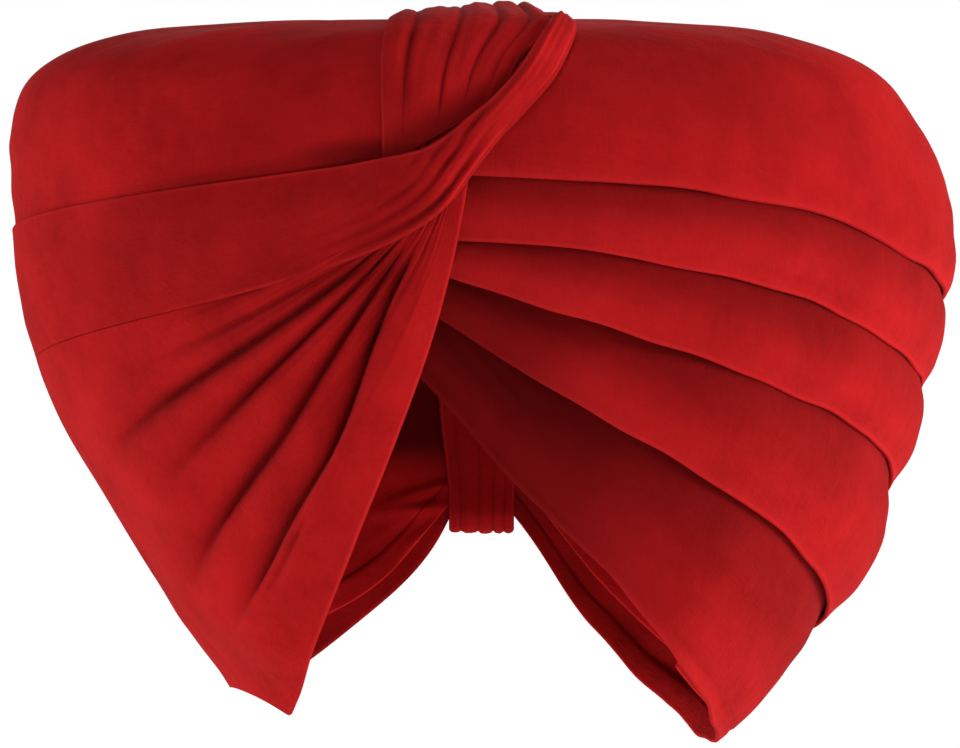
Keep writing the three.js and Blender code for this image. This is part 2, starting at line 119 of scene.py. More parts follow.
@dataclass
class Noise:
    """Smooth, repeatable unevenness of hand-laid cloth."""

    seed: int
    size: int = 64
    gain: float = 1.6
    slopes: Array = field(init=False)

    def __post_init__(self) -> None:
        """Draws the lattice of slopes from the seed."""
        turn = np.random.RandomState(self.seed).rand(self.size, self.size) * 2 * math.pi
        self.slopes = np.stack([np.cos(turn), np.sin(turn)], axis=-1)

    def at(self, x: Array, y: Array) -> Array:
        """Reads the unevenness.

        Args:
            x: First coordinate, one lattice step for each 1.
            y: Second coordinate.

        Returns:
            Values from about -1 to 1.
        """
        x, y = np.broadcast_arrays(x, y)
        xi, yi = np.floor(x).astype(int), np.floor(y).astype(int)
        fx, fy = x - xi, y - yi
        pulls = []
        for dy in (0, 1):
            for dx in (0, 1):
                slope = self.slopes[(xi + dx) % self.size, (yi + dy) % self.size]
                pulls.append(slope[..., 0] * (fx - dx) + slope[..., 1] * (fy - dy))
        u, v = ease(fx, 0, 1), ease(fy, 0, 1)
        return self.gain * mix(mix(pulls[0], pulls[1], u), mix(pulls[2], pulls[3], u), v)


# Rise, left, right, front and back of the form's level sections, as shares of its sizes.
SECTIONS = (
    (0.0, 0.45, 0.5, 0.52, 0.54),
    (0.072, 0.52, 0.6, 0.6, 0.63),
    (0.157, 0.615, 0.705, 0.69, 0.72),
    (0.255, 0.71, 0.808, 0.76, 0.79),
    (0.36, 0.812, 0.868, 0.81, 0.85),
    (0.49, 0.907, 0.93, 0.86, 0.92),
    (0.638, 0.966, 0.985, 0.92, 0.98),
    (0.766, 1.0, 0.995, 0.95, 1.0),
    (0.87, 1.0, 0.922, 0.93, 0.97),
    (0.938, 0.935, 0.83, 0.85, 0.88),
    (0.98, 0.75, 0.65, 0.68, 0.7),
    (0.996, 0.4, 0.39, 0.4, 0.42),
    (1.0, 0.0, 0.0, 0.0, 0.0),
)


@dataclass
class Form:
    """The rounded form that the cloth lies on. Heights are above the lowest hem tip."""

    width: float = 306 * MM
    depth: float = 268 * MM
    rise: float = 236 * MM
    core: float = 0.62
    steps: int = 2400
    halvings: int = 34
    share: Array = field(init=False)
    height: Array = field(init=False)
    sides: Array = field(init=False)
    slopes: Array = field(init=False)

    def __post_init__(self) -> None:
        """Works out the form's sizes at finely spaced levels."""
        rows = np.array(SECTIONS)
        levels = spline(rows, np.linspace(0, len(rows) - 1, self.steps + 1))
        self.share = np.linspace(0, 1, self.steps + 1)
        self.height = levels[:, 0] * self.rise
        half = np.array([self.width, self.width, self.depth, self.depth]) / 2
        self.sides = np.maximum(levels[:, 1:], 1e-5) * half
        self.slopes = np.gradient(np.column_stack([self.height, self.sides]), axis=0)

    def level(self, z: Array) -> Array:
        """The level, from 0 at the tips to 1 at the crown, of a height in metres."""
        return np.interp(z, self.height, self.share)

    def read(self, table: Array, level: Array) -> list[Array]:
        """Each column of one of the form's tables, read at given levels."""
        return [np.interp(level, self.share, column) for column in table.T]

    def point(self, angle: Array, level: Array) -> Array:
        """Places on the form.

        Args:
            angle: Degrees round the head, 0 at the brow and 90 on the wearer's left.
            level: Levels from 0 to 1.

        Returns:
            Points in metres.
        """
        turn = np.radians(angle)
        s, c = np.sin(turn), np.cos(turn)
        left, right, front, back = self.read(self.sides, level)
        x = s * np.where(s > 0, right, left)
        y = -c * np.where(c > 0, front, back)
        return np.stack(np.broadcast_arrays(x, y, np.interp(level, self.share, self.height)), axis=-1)

    def turned(self, x: Array, z: Array) -> Array:
        """Degrees from the brow, towards the wearer's right, of places on the form's right side."""
        reach = np.interp(self.level(z), self.share, self.sides[:, 0])
        return np.degrees(np.arcsin(np.clip(-x / reach, -1, 1)))

    def normal(self, point: Array) -> Array:
        """The outward directions at places on the form.

        Args:
            point: Points on the form.

        Returns:
            Unit vectors.
        """
        x, y = point[..., 0], point[..., 1]
        level = self.level(point[..., 2])
        left, right, front, back = self.read(self.sides, level)
        rise, d_left, d_right, d_front, d_back = self.read(self.slopes, level)
        a, da = np.where(x > 0, right, left), np.where(x > 0, d_right, d_left)
        b, db = np.where(y > 0, back, front), np.where(y > 0, d_back, d_front)
        out = np.stack([x / a**2 * rise, y / b**2 * rise, -(x**2 * da / a**3 + y**2 * db / b**3)], axis=-1)
        return out / np.linalg.norm(out, axis=-1, keepdims=True)

    def within(self, point: Array) -> Array:
        """Whether points lie inside the form.

        Args:
            point: Points in metres.

        Returns:
            True inside.
        """
        left, right, front, back = self.read(self.sides, self.level(point[..., 2]))
        x = point[..., 0] / np.where(point[..., 0] > 0, right, left)
        y = point[..., 1] / np.where(point[..., 1] > 0, back, front)
        return (x**2 + y**2 < 1) & (point[..., 2] < self.rise)

    def onto(self, guide: Array) -> Array:
        """Guide points moved onto the form, along lines from its core.

        Args:
            guide: Points near the form.

        Returns:
            Points on the form.
        """
        core = np.array([0, 0, self.core * self.rise])
        way = guide - core
        way /= np.linalg.norm(way, axis=-1, keepdims=True)
        near = np.zeros(guide.shape[:-1])
        far = np.full(guide.shape[:-1], self.width)
        for _ in range(self.halvings):
            middle = (near + far) / 2
            inside = self.within(core + way * middle[..., None])
            near = np.where(inside, middle, near)
            far = np.where(inside, far, middle)
        return core + way * near[..., None]

    def on_side(self, ground: Ground, x: Array, other: Array) -> Array:
        """Places on the brow, the back or the crown.

        Args:
            ground: The side that they lie on.
            x: Distances to the wearer's left.
            other: Heights, or on the crown distances to the back.

        Returns:
            Points on the form.
        """
        if ground is Ground.CROWN:
            return self.onto(np.stack(np.broadcast_arrays(x, other, self.rise), axis=-1))
        left, right, front, back = self.read(self.sides, self.level(other))
        share = x / np.where(np.asarray(x) > 0, right, left)
        reach = np.sqrt(np.maximum(1 - share**2, 0))
        y = -front * reach if ground is Ground.BROW else back * reach
        return np.stack(np.broadcast_arrays(x, y, other), axis=-1)


def feed(tree: bpy.types.NodeTree, node: bpy.types.Node, fed: dict) -> None:
    """Sets a node's inputs.

    Args:
        tree: The nodes that it belongs to.
        node: The node.
        fed: Inputs by name or number, each with its constant or the socket that feeds it.
    """
    for key, value in fed.items():
        if isinstance(value, Socket):
            tree.links.new(value, node.inputs[key])
        else:
            node.inputs[key].default_value = value


def add_node(tree: bpy.types.NodeTree, kind: str, fed: dict, **settings: str) -> bpy.types.Node:
    """Adds a node.

    Args:
        tree: The nodes to add it to.
        kind: The type of shader node.
        fed: Its inputs, as for feed.
        settings: Its own settings.

    Returns:
        The node.
    """
    node = tree.nodes.new(f"ShaderNode{kind}")
    for key, value in settings.items():
        setattr(node, key, value)
    feed(tree, node, fed)
    return node


def add_ramp(tree: bpy.types.NodeTree, share: Socket, *stops: tuple[float, Colour]) -> Socket:
    """Adds a colour ramp.

    Args:
        tree: The nodes to add it to.
        share: What it reads.
        stops: Its two stops, each a position and a colour.

    Returns:
        The colour.
    """
    ramp = add_node(tree, "ValToRGB", {"Fac": share})
    for element, (position, colour) in zip(ramp.color_ramp.elements, stops):
        element.position = position
        element.color = (*colour, 1)
    return ramp.outputs["Color"]


def add_object(name: str, data: bpy.types.ID) -> bpy.types.Object:
    """Adds an object to the scene.

    Args:
        name: Its name.
        data: Its mesh, light or camera.

    Returns:
        The object.
    """
    made = bpy.data.objects.new(name, data)
    bpy.context.collection.objects.link(made)
    return made


@dataclass(frozen=True)
class Cotton:
    """Loosely woven red cotton with its slubs, creases and worn fold edges.

    The rim colour lies on worn fold edges and is partly a painted highlight there and on the
    wraps' lower lips. The hollow colour is painted shade, laid deep in folds and under edges,
    as each sheet's marks say. Threads are per metre of the flat cloth.
    """

    name: str
    light: Colour = (0.56, 0.0115, 0.0125)
    deep: Colour = (0.38, 0.0068, 0.0078)
    # The lighter rim tone of worn fold edges, partly a painted highlight, then the painted shade colour.
    worn_and_highlit_rim: Colour = (0.72, 0.02, 0.022)
    painted_shade_colour: Colour = (0.09, 0.0018, 0.002)
    roughness: float = 0.9
    sheen: float = 0.03
    threads: float = 1400.0
    drawn_out: float = 0.13
    weave_depth: float = 0.45

    def material(self) -> bpy.types.Material:
        """Builds the material, once for each name.

        Returns:
            The material.
        """
        if self.name in bpy.data.materials:
            return bpy.data.materials[self.name]
        made = bpy.data.materials.new(self.name)
        made.use_nodes = True
        tree = made.node_tree
        warp = self.thread(tree, (self.threads, self.threads * self.drawn_out, 1.0))
        weft = self.thread(tree, (self.threads * self.drawn_out, self.threads, 1.0))
        weave = add_node(tree, "Math", {0: warp, 1: weft}, operation="ADD").outputs[0]
        place = add_node(tree, "TexCoord", {}).outputs["Object"]
        clouds = {"Vector": place, "Scale": 34.0, "Detail": 5.0, "Roughness": 0.62}
        mottle = {0: weave, 1: 0.2, 2: add_node(tree, "TexNoise", clouds).outputs["Fac"]}
        tone = add_node(tree, "Math", mottle, operation="MULTIPLY_ADD").outputs[0]
        dyed = add_ramp(tree, tone, (0.46, self.deep), (0.86, self.light))
        # Lighter worn fold edges, partly a painted highlight along them and over the wraps' lower lips.
        worn_and_highlit = self.marked(tree, "worn_and_highlit_rim", dyed, self.worn_and_highlit_rim)
        pucker = add_node(tree, "TexNoise", {"Vector": place, "Scale": 190.0, "Detail": 3.0})
        puckers = {"Strength": 0.32, "Distance": 0.0018, "Height": pucker.outputs["Fac"]}
        soft = add_node(tree, "Bump", puckers).outputs["Normal"]
        threads = {"Strength": self.weave_depth, "Distance": 0.0004, "Height": weave, "Normal": soft}
        # The base colour gets painted shade laid over it, in folds and under edges.
        feed(tree, tree.nodes["Principled BSDF"], {
            "Base Color": self.marked(tree, "painted_shade", worn_and_highlit, self.painted_shade_colour),
            "Roughness": self.roughness,
            "Sheen Weight": self.sheen,
            "Sheen Roughness": 0.45,
            "Sheen Tint": (1.0, 0.35, 0.33, 1.0),
            "Specular IOR Level": 0.04,
            "Normal": add_node(tree, "Bump", threads).outputs["Normal"],
        })
        return made

    def marked(self, tree: bpy.types.NodeTree, mark: str, base: Socket, colour: Colour) -> Socket:
        """Lays a colour over the base where a sheet's mark says."""
        where = add_node(tree, "Attribute", {}, attribute_name=mark).outputs["Fac"]
        return add_node(tree, "Mix", {0: where, 6: base, 7: (*colour, 1)}, data_type="RGBA").outputs[2]

    def thread(self, tree: bpy.types.NodeTree, counts: tuple[float, ...]) -> Socket:
        """One set of threads, as noise drawn out along the cloth's grain.

        Args:
            tree: The material's nodes.
            counts: Threads per metre across and along.

        Returns:
            The threads' height.
        """
        grain = add_node(tree, "UVMap", {}, uv_map="Grain").outputs["UV"]
        turn = add_node(tree, "Mapping", {"Vector": grain, "Scale": counts}).outputs["Vector"]
        return add_node(tree, "TexNoise", {"Vector": turn, "Scale": 1.0, "Detail": 2.0}).outputs["Fac"]


@dataclass(frozen=True)
class Hem:
    """A fold along an edge: the cloth turns under with a small radius and runs back inside."""

    radius: float = 0.8 * MM
    back: float = 8 * MM
    arc_steps: int = 7
    back_steps: int = 4

    def rows(self, worn_and_highlit: Array) -> tuple[Array, Array, Array]:
        """The fold's cross-section from its inner end, and the outer face after it.

        Args:
            worn_and_highlit: How far each row of the outer face is rim, worn edge and painted highlight.

        Returns:
            Distances of the fold's own rows from the edge, then of all rows, as columns, their
            depths below the outer face and how far each is rim.
        """
        r = self.radius
        inner = np.linspace(self.back, r, self.back_steps + 1)[:-1]
        turn = np.linspace(math.pi, 0, self.arc_steps + 1)
        along = np.concatenate([inner, r - r * np.sin(turn)])
        depth = np.concatenate([np.full(len(inner), -2 * r), -r + r * np.cos(turn), 0 * worn_and_highlit])
        # Lighter rim over the fold's turn: a worn edge, partly a painted highlight.
        worn_and_highlit_rim = np.concatenate([0 * inner, np.sin(turn / 2 + math.pi / 2) ** 2, worn_and_highlit])
        return along, depth[:, None], worn_and_highlit_rim[:, None]


@dataclass
class Patch:
    """A grid of points on a piece of cloth.

    The rim says how far each point is a fold's worn edge with its painted highlight, the shade
    how much painted shade it gets in folds and under edges.
    """

    points: Array
    worn_and_highlit_rim: Array
    painted_shade: Array

    def outward(self, rise: float) -> "Patch":
        """The same grid, run the way round that makes its faces point out.

        Args:
            rise: Height of the form's core.

        Returns:
            This patch or its mirror order.
        """
        p = self.points
        i, j = p.shape[0] * 2 // 3, p.shape[1] // 2
        face = np.cross(p[i, j + 1] - p[i, j], p[i + 1, j] - p[i, j])
        if np.dot(face, p[i, j] - np.array([0, 0, rise])) > 0:
            return self
        return Patch(p[:, ::-1], self.worn_and_highlit_rim[:, ::-1], self.painted_shade[:, ::-1])

    def area(self) -> float:
        """The patch's area.

        Returns:
            Square metres.
        """
        p = self.points
        one, two = p[1:, 1:] - p[:-1, :-1], p[1:, :-1] - p[:-1, 1:]
        return float(np.linalg.norm(np.cross(one, two), axis=-1).sum() / 2)


@dataclass
class Sheet:
    """A piece of cloth laid over the form.

    The mesh is one face of the cloth, and the wall thickens it. A ply is a folded cloth as its
    neighbours feel it, with the gap to the next. The rim wear and highlight says how light its
    rims, worn edges with a painted highlight, are at most.
    """

    name: str
    node: str
    slot: str
    cloth: Cotton
    held: Hold
    rests_on: tuple[str, ...]
    form: Form
    seed: int = 1
    wall: float = 0.7 * MM
    gap: float = 0.5 * MM
    ply: float = 1.4 * MM
    rim_wear_and_highlight: float = 0.7
    hem: Hem = Hem()

    def patch(self) -> Patch:
        """Works out the cloth's points. Each kind of sheet has its own."""
        raise NotImplementedError

    def raised(self, guide: Array, out: Array) -> Array:
        """Points at a height over places on the form, along its outward direction."""
        return guide + self.form.normal(guide) * out[..., None]

    def mesh(self, patch: Patch, across: Array, up: Array) -> bpy.types.Mesh:
        """Makes the cloth's mesh, with its grain and marks.

        Args:
            patch: The cloth's points.
            across: Their distances along the rows.
            up: Their distances along the columns.

        Returns:
            The mesh.
        """
        rows, cols = patch.worn_and_highlit_rim.shape
        bm = bmesh.new()
        bmesh.ops.create_grid(bm, x_segments=cols - 1, y_segments=rows - 1, size=1)
        bmesh.ops.remove_doubles(bm, verts=bm.verts, dist=1e-6)
        mesh = bpy.data.meshes.new(self.name)
        bm.to_mesh(mesh)
        bm.free()
        flat = np.empty(len(mesh.vertices) * 3)
        mesh.vertices.foreach_get("co", flat)
        flat = flat.reshape(-1, 3)
        i = np.rint((flat[:, 1] + 1) / 2 * (rows - 1)).astype(int)
        j = np.rint((flat[:, 0] + 1) / 2 * (cols - 1)).astype(int)
        moved = patch.points[i, j] - np.array([0, 0, self.form.rise])
        mesh.vertices.foreach_set("co", moved.ravel())
        corner = np.empty(len(mesh.loops), dtype=int)
        mesh.loops.foreach_get("vertex_index", corner)
        uv = np.stack([across[i, j], up[i, j]], axis=-1)[corner]
        mesh.uv_layers.new(name="Grain").data.foreach_set("uv", uv.ravel())
        # Marks: the rim is worn edge with painted highlight, the shade is painted shade.
        for name, values in (("worn_and_highlit_rim", patch.worn_and_highlit_rim), ("painted_shade", patch.painted_shade)):
            mark = mesh.attributes.new(name, "FLOAT", "POINT")
            mark.data.foreach_set("value", np.clip(values, 0, 1)[i, j])
        mesh.shade_smooth()
        mesh.update()
        return mesh

    def build(self) -> bpy.types.Object:
        """Returns:
            The finished piece.
        """
        patch = self.patch().outward(self.form.core * self.form.rise)
        across, up = run(patch.points, 1), run(patch.points, 0)
        piece = add_object(self.name, self.mesh(patch, across, up))
        thick = piece.modifiers.new("ply", "SOLIDIFY")
        thick.thickness = self.wall
        thick.offset = -1
        piece.data.materials.append(self.cloth.material())
        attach(piece, "root")
        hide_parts(self.node)
        width, length = float(up[-1].max()), float(across[:, -1].max())
        area = min(patch.area(), width * length)
        facts = *patch.worn_and_highlit_rim.shape, width, length, area
        log.info("%s: %d x %d points, flat %.3f x %.3f m, %.4f m2", self.name, *facts)
        return piece


STATION_START, STATION_STEP = -20, 30
# Lower edges as shares of the rise, at stations round the head.
WRAP_EDGES = (
    (0.784, 0.775, 0.741, 0.662, 0.609, 0.6, 0.63, 0.7),
    (0.703, 0.684, 0.625, 0.537, 0.483, 0.46, 0.5, 0.6),
    (0.689, 0.596, 0.5, 0.412, 0.34, 0.312, 0.38, 0.57),
    (0.647, 0.481, 0.336, 0.215, 0.163, 0.176, 0.285, 0.53),
    (0.57, 0.306, 0.117, 0.021, 0.0, 0.036, 0.155, 0.45),
)
UNDER_LEFT = (0.555, 0.294, 0.108, 0.034, 0.034, 0.085, 0.215, 0.5)
UNDER_RIGHT = (0.7, 0.5, 0.25, 0.14, 0.13, 0.14, 0.21, 0.42)
COVER_EDGE = (0.822, 0.818, 0.774, 0.735, 0.7, 0.665, 0.645, 0.64)
BACK_ANGLE = 177.0  # where both sides end under the strap


@dataclass(frozen=True)
class Crease:
    """A fold line on the flat of a sheet, from one angle and height to another."""

    angle: float
    height: float
    end_angle: float
    end_height: float
    depth: float
    breadth: float
    radius: float = 128 * MM

    def dent(self, angle: Array, height: Array) -> Array:
        """How far the crease dents the cloth.

        Args:
            angle: Degrees round the head.
            height: Metres above the tips.

        Returns:
            Depths in metres.
        """
        turn = math.pi / 180 * self.radius
        px, py = (angle - self.angle) * turn, height - self.height
        dx, dy = (self.end_angle - self.angle) * turn, self.end_height - self.height
        length = math.hypot(dx, dy)
        along = (px * dx + py * dy) / length**2
        aside = (px * dy - py * dx) / length
        taper = ease(along, -0.12, 0.15) * fade(along, 0.55, 1.1)
        return self.depth * taper * np.exp(-np.abs(aside / self.breadth) ** 1.3)


@dataclass
class WrapBase(Sheet):
    """What the wraps round the head have in common."""

    side: int = 1
    start: float = 0.0
    top: float = 1.0
    tuck: float = 14 * MM
    fold_stand: float = 6.2 * MM
    fold_stand_brow: float = 4 * MM
    unevenness: float = 0.8 * MM
    radius: float = 130 * MM
    columns: int = 250
    rows: int = 44

    def round(self) -> Array:
        """Degrees round the head of the wrap's columns."""
        return np.linspace(self.start, BACK_ANGLE, self.columns)[None, :]

    def edge(self, shares: tuple[float, ...], angle: Array) -> Array:
        """Height of an edge round the head, from its shares of the rise at the stations."""
        return spline(np.array(shares), (angle - STATION_START) / STATION_STEP) * self.form.rise

    def uneven(self, angle: Array) -> Array:
        """How uneven a hand-laid lower edge is round the head."""
        return self.unevenness * Noise(self.seed + 40).at(angle / 9, 0.5)

    def stand(self, angle: Array, full: float) -> Array:
        """How far a lower fold stands off the form.

        Args:
            angle: Degrees round the head.
            full: The most that it stands off.

        Returns:
            Heights over the form.
        """
        brow = min(full, self.fold_stand_brow)
        pressed = min(full, 2 * self.ply + self.gap)
        opened = mix(brow, full, ease(angle, 0, 26))
        return mix(opened, np.minimum(opened, pressed), ease(angle, BACK_ANGLE - 24, BACK_ANGLE - 10))

    def waves(self, angle: Array, height: Array) -> Array:
        """Soft unevenness, long creases that run with the wrap, and gathers near the knot.

        Args:
            angle: Degrees round the head.
            height: Metres up from the wrap's lower edge.

        Returns:
            Heights to add.
        """
        noise = Noise(self.seed)
        far = angle * math.pi / 180 * self.radius
        soft = 0.75 * MM * noise.at(far / 0.055 + 7, height / 0.03)
        long = 0.38 * MM * noise.at(far / 0.05 + 31, height / 0.0075 + 5)
        gather = 0.55 * MM * ease(-angle, -34, 0) * noise.at(far / 0.03 + 3, height / 0.0042 + 9)
        return soft + long + gather


@dataclass
class Wrap(WrapBase):
    """One folded wrap between its lower fold and its edge tucked under the wrap above.

    The profile gives its height from the fold up, as shares of the fold's. The painted dusk is
    shade painted at the brow: its strength and the angles between which it fades.
    """

    index: int = 0
    sink: float = 0.0
    brow_sink: float = 15 * MM
    hem_stand: float = 3.2 * MM
    profile: tuple[float, ...] = (0.55, 0.97, 1.05, 0.85, 0.28, 0.05)
    past_edge: float = 1.25
    seam: tuple[float, float, float] = (0.55 * MM, 4.2 * MM, 0.7 * MM)
    painted_dusk: tuple[float, float, float] = (0.0, 0.0, 1.0)

    def patch(self) -> Patch:
        """The wrap's points, from the inside of its lower fold to its upper edge.

        Returns:
            The grid.
        """
        angle = self.round()
        low = self.edge(WRAP_EDGES[self.index], angle) + self.uneven(angle)
        high = self.edge(WRAP_EDGES[self.index - 1], angle) + self.tuck
        t = np.linspace(0, 1, self.rows)[1:, None] ** 1.15
        first = self.hem.radius
        along, depth, worn_and_highlit_rim = self.hem.rows(np.exp(-(t[:, 0] * 60 / 2.2)))
        height = np.concatenate([along[:, None] + 0 * angle, mix(first, high - low, t)])
        share = np.clip((height - first) / (high - low - first), 0, 1)
        seen = np.clip((height - first) / (high - low - self.tuck), 0, self.past_edge)
        lowest = self.index == len(WRAP_EDGES) - 1
        out = self.stand(angle, self.hem_stand if lowest else self.fold_stand)
        out = out * spline(np.array(self.profile), seen / self.past_edge * (len(self.profile) - 1))
        out = out - self.brow_sink * self.sink * fade(angle, 0, 40)
        free = ease(height, 0, 6 * MM) * fade(share, 0.7, 1) + 0.25
        out = out + self.waves(angle, height) * np.clip(free, 0, 1)
        if lowest:
            deep, up, breadth = self.seam
            out = out - deep * np.exp(-(((height - up) / breadth) ** 2))
        guide = self.form.point(angle + 0 * height, self.form.level(low + height))
        # The rim: the worn fold edge, and a painted highlight over the lower lip.
        worn_and_highlit_rim = np.maximum(worn_and_highlit_rim + 0 * angle, 0.55 * np.exp(-height / (10 * MM)) * (depth > -first / 2))
        # Painted shadow under the wrap above, darkest just below its edge, then painted dusk at the brow.
        painted_shade = 0.6 * ease(seen, 0.2, 0.9) * mix(1, 0.4, ease(angle, 30, 75)) + 0.25 * ease(seen, 0.88, 1)
        strength, full, gone = self.painted_dusk
        painted_shade = 1 - (1 - painted_shade) * (1 - strength * fade(angle, full, gone))
        return Patch(self.raised(guide, out + depth), worn_and_highlit_rim * self.rim_wear_and_highlight, painted_shade)


@dataclass
class CrownPanel(WrapBase):
    """A panel that runs over the shoulder to the middle of the crown.

    On the wearer's left it ends in the first wrap's fold, on the right under the band.
    """

    curl: float = 2.6 * MM

    def patch(self) -> Patch:
        """The panel's points, from its lower edge up over the shoulder.

        Returns:
            The grid.
        """
        angle = self.round()
        t = np.linspace(0, 1, self.rows)[1:, None] ** 0.95
        if self.side > 0:
            low = self.edge(WRAP_EDGES[0], angle) + self.uneven(angle)
            along, depth, worn_and_highlit_rim = self.hem.rows(np.exp(-(t[:, 0] * 160 / 2.2)))
        else:
            low = self.edge(COVER_EDGE, angle) - self.tuck
            along, depth, worn_and_highlit_rim = np.zeros(1), np.zeros((self.rows, 1)), np.zeros((self.rows, 1))
        level = self.form.level(low + along[:, None])
        level = np.concatenate([level, mix(self.form.level(low + self.hem.radius), self.top, t)])
        guide = self.form.point(self.side * angle + 0 * level, level)
        height = np.maximum(guide[..., 2] - low, 0)
        if self.side > 0:
            out = mix(self.stand(angle, self.fold_stand), self.ply, ease(height, 0, 3 * self.tuck))
            out = out - self.curl * np.exp(-height / (5 * MM))
            # Painted shade: darker higher up, towards the brow.
            painted_shade = 0.3 * ease(height, 8 * MM, 30 * MM) * fade(angle, 35, 70) * fade(level, 0.8, 0.9)
        else:
            out = self.ply * ease(height, 0, self.tuck)
            above = height - self.tuck
            # Painted shadow just above the band's top edge, and painted shade near the strap.
            painted_shade = 0.7 * fade(above, 1 * MM, 8 * MM) * fade(angle, 17, 28)
            painted_shade = np.maximum(painted_shade, 0.4 * fade(above, 0, 3 * MM) * fade(angle, 30, 60))
            painted_shade = np.maximum(painted_shade, 0.18 * fade(angle, 18, 45) * fade(level, 0.8, 0.9))
        bumps = Noise(self.seed + 40).at(guide[..., 0] / 0.05 + 11, guide[..., 1] / 0.045 + 0.4)
        bumps = 1.5 * MM * bumps * ease(level, 0.72, 0.86) * fade(level, 0.95, 0.985)
        waves = self.waves(angle, height) * ease(height, 0, 6 * MM) * fade(level, 0.9, 0.97)
        out = out + np.maximum(waves + bumps, -self.gap)
        return Patch(self.raised(guide, out + depth), worn_and_highlit_rim * self.rim_wear_and_highlight + 0 * angle, painted_shade)


@dataclass
class UnderWrap(WrapBase):
    """An inner wrap, whose hem and folds show inside the opening.

    It lies a little inside the form, and its bulges are kept low. The painted dusk is shade
    painted into its colour, which sets in between two heights.
    """

    lift: float = 1.9 * MM
    bulge: float = 0.2 * MM
    painted_dusk: tuple[float, float] = (84 * MM, 98 * MM)
    shares: tuple[float, ...] = UNDER_LEFT
    creases: tuple[Crease, ...] = ()

    def patch(self) -> Patch:
        """The inner wrap's points.

        Returns:
            The grid.
        """
        angle = self.round()
        low = self.edge(self.shares, angle)
        t = np.linspace(0, 1, self.rows)[1:, None]
        along, depth, worn_and_highlit_rim = self.hem.rows(0 * t[:, 0])
        face = mix(self.hem.radius, self.top * self.form.rise - low, t)
        height = np.concatenate([along[:, None] + 0 * angle, face])
        guide = self.form.point(self.side * angle + 0 * height, self.form.level(low + height))
        out = -self.lift + np.minimum(self.waves(angle, height), self.bulge)
        for crease in self.creases:
            out = out - crease.dent(angle, low + height)
        # Painted shade, darkening the inner wrap towards the top of the opening.
        painted_shade = 0.9 * ease(low + height, *self.painted_dusk)
        return Patch(self.raised(guide, out + depth), worn_and_highlit_rim * self.rim_wear_and_highlight + 0 * angle, painted_shade)


@dataclass(frozen=True)
class CrossLine:
    """A line across a band, by its two ends, as shares of the form's half sizes or its rise."""

    ground: Ground
    low_x: float
    low: float
    high_x: float
    high: float
    lift: float
    tilt: float = 0.0


ROLL_LINES = (
    CrossLine(Ground.CROWN, 0.13, 0.12, 0.03, 0.12, 0.1),
    CrossLine(Ground.CROWN, 0.185, -0.22, 0.085, -0.22, 0.1),
    CrossLine(Ground.CROWN, 0.197, -0.54, 0.142, -0.54, 0.12),
    CrossLine(Ground.BROW, 0.203, 0.972, 0.147, 0.972, 0.8),
    CrossLine(Ground.BROW, 0.16, 0.915, 0.095, 0.922, 1.0),
    CrossLine(Ground.BROW, 0.083, 0.859, 0.032, 0.879, 1.1),
    CrossLine(Ground.BROW, 0.033, 0.825, -0.013, 0.856, 1.25),
    CrossLine(Ground.BROW, -0.033, 0.77, -0.098, 0.815, 1.15),
)
STRAP_LINES = (
    CrossLine(Ground.BROW, -0.203, 0.79, 0.045, 0.875, 0.7),
    CrossLine(Ground.BROW, -0.206, 0.87, 0.08, 0.93, 0.5),
    CrossLine(Ground.BROW, -0.205, 0.965, 0.152, 0.972, 0.4),
    CrossLine(Ground.CROWN, -0.2, -0.52, 0.15, -0.52, 0.4, 0.1),
    CrossLine(Ground.CROWN, -0.19, -0.2, 0.125, -0.2, 0.0, 1.0),
    CrossLine(Ground.CROWN, -0.18, 0.15, 0.14, 0.15, 0.0, 1.0),
    CrossLine(Ground.CROWN, -0.165, 0.5, 0.14, 0.5, 0.3, 0.2),
    CrossLine(Ground.BACK, -0.145, 0.955, 0.13, 0.955, 0.7),
    CrossLine(Ground.BACK, -0.12, 0.78, 0.118, 0.78, 0.8),
    CrossLine(Ground.BACK, -0.09, 0.56, 0.09, 0.56, 1.0),
    CrossLine(Ground.BACK, -0.055, 0.38, 0.065, 0.38, 1.0),
)


@dataclass
class BandBase(Sheet):
    """What the bands given by cross-lines have in common."""

    lines: tuple[CrossLine, ...] = ()

    def ends(self, place: Array) -> tuple[Array, Array]:
        """The band's two long edges.

        Args:
            place: Cross-line numbers with fractions.

        Returns:
            Points on the lower and the upper edge.
        """
        low, high = [], []
        for line in self.lines:
            size = self.form.depth / 2 if line.ground is Ground.CROWN else self.form.rise
            for edge, x, other in ((low, line.low_x, line.low), (high, line.high_x, line.high)):
                across, up = np.array(x * self.form.width / 2), np.array(other * size)
                edge.append(self.form.on_side(line.ground, across, up))
        return spline(np.array(low), place), spline(np.array(high), place)

    def column(self, name: str, place: Array) -> Array:
        """One of the cross-lines' numbers, by its name, between them."""
        return spline(np.array([getattr(line, name) for line in self.lines]), place)

    def across(self, breadth: Array, steps: int) -> tuple[Array, Array, Array]:
        """Shares across a band with both of its edges turned under.

        Args:
            breadth: The band's breadth at each place along it.
            steps: Rows on its outer face.

        Returns:
            Shares from the lower edge, depths below the outer face, and how far each row is rim.
        """
        along, depth, worn_and_highlit_rim = self.hem.rows(np.zeros(steps))
        edge = np.minimum(along[:, None] / breadth, 0.45)
        first = self.hem.radius / breadth
        t = np.linspace(0, 1, steps + 2)[1:-1, None]
        share = np.concatenate([edge, mix(first, 1 - first, t), 1 - edge[::-1]])
        far = slice(len(along) - 1, None, -1)
        return share, np.concatenate([depth, depth[far]]), np.concatenate([worn_and_highlit_rim, worn_and_highlit_rim[far]])


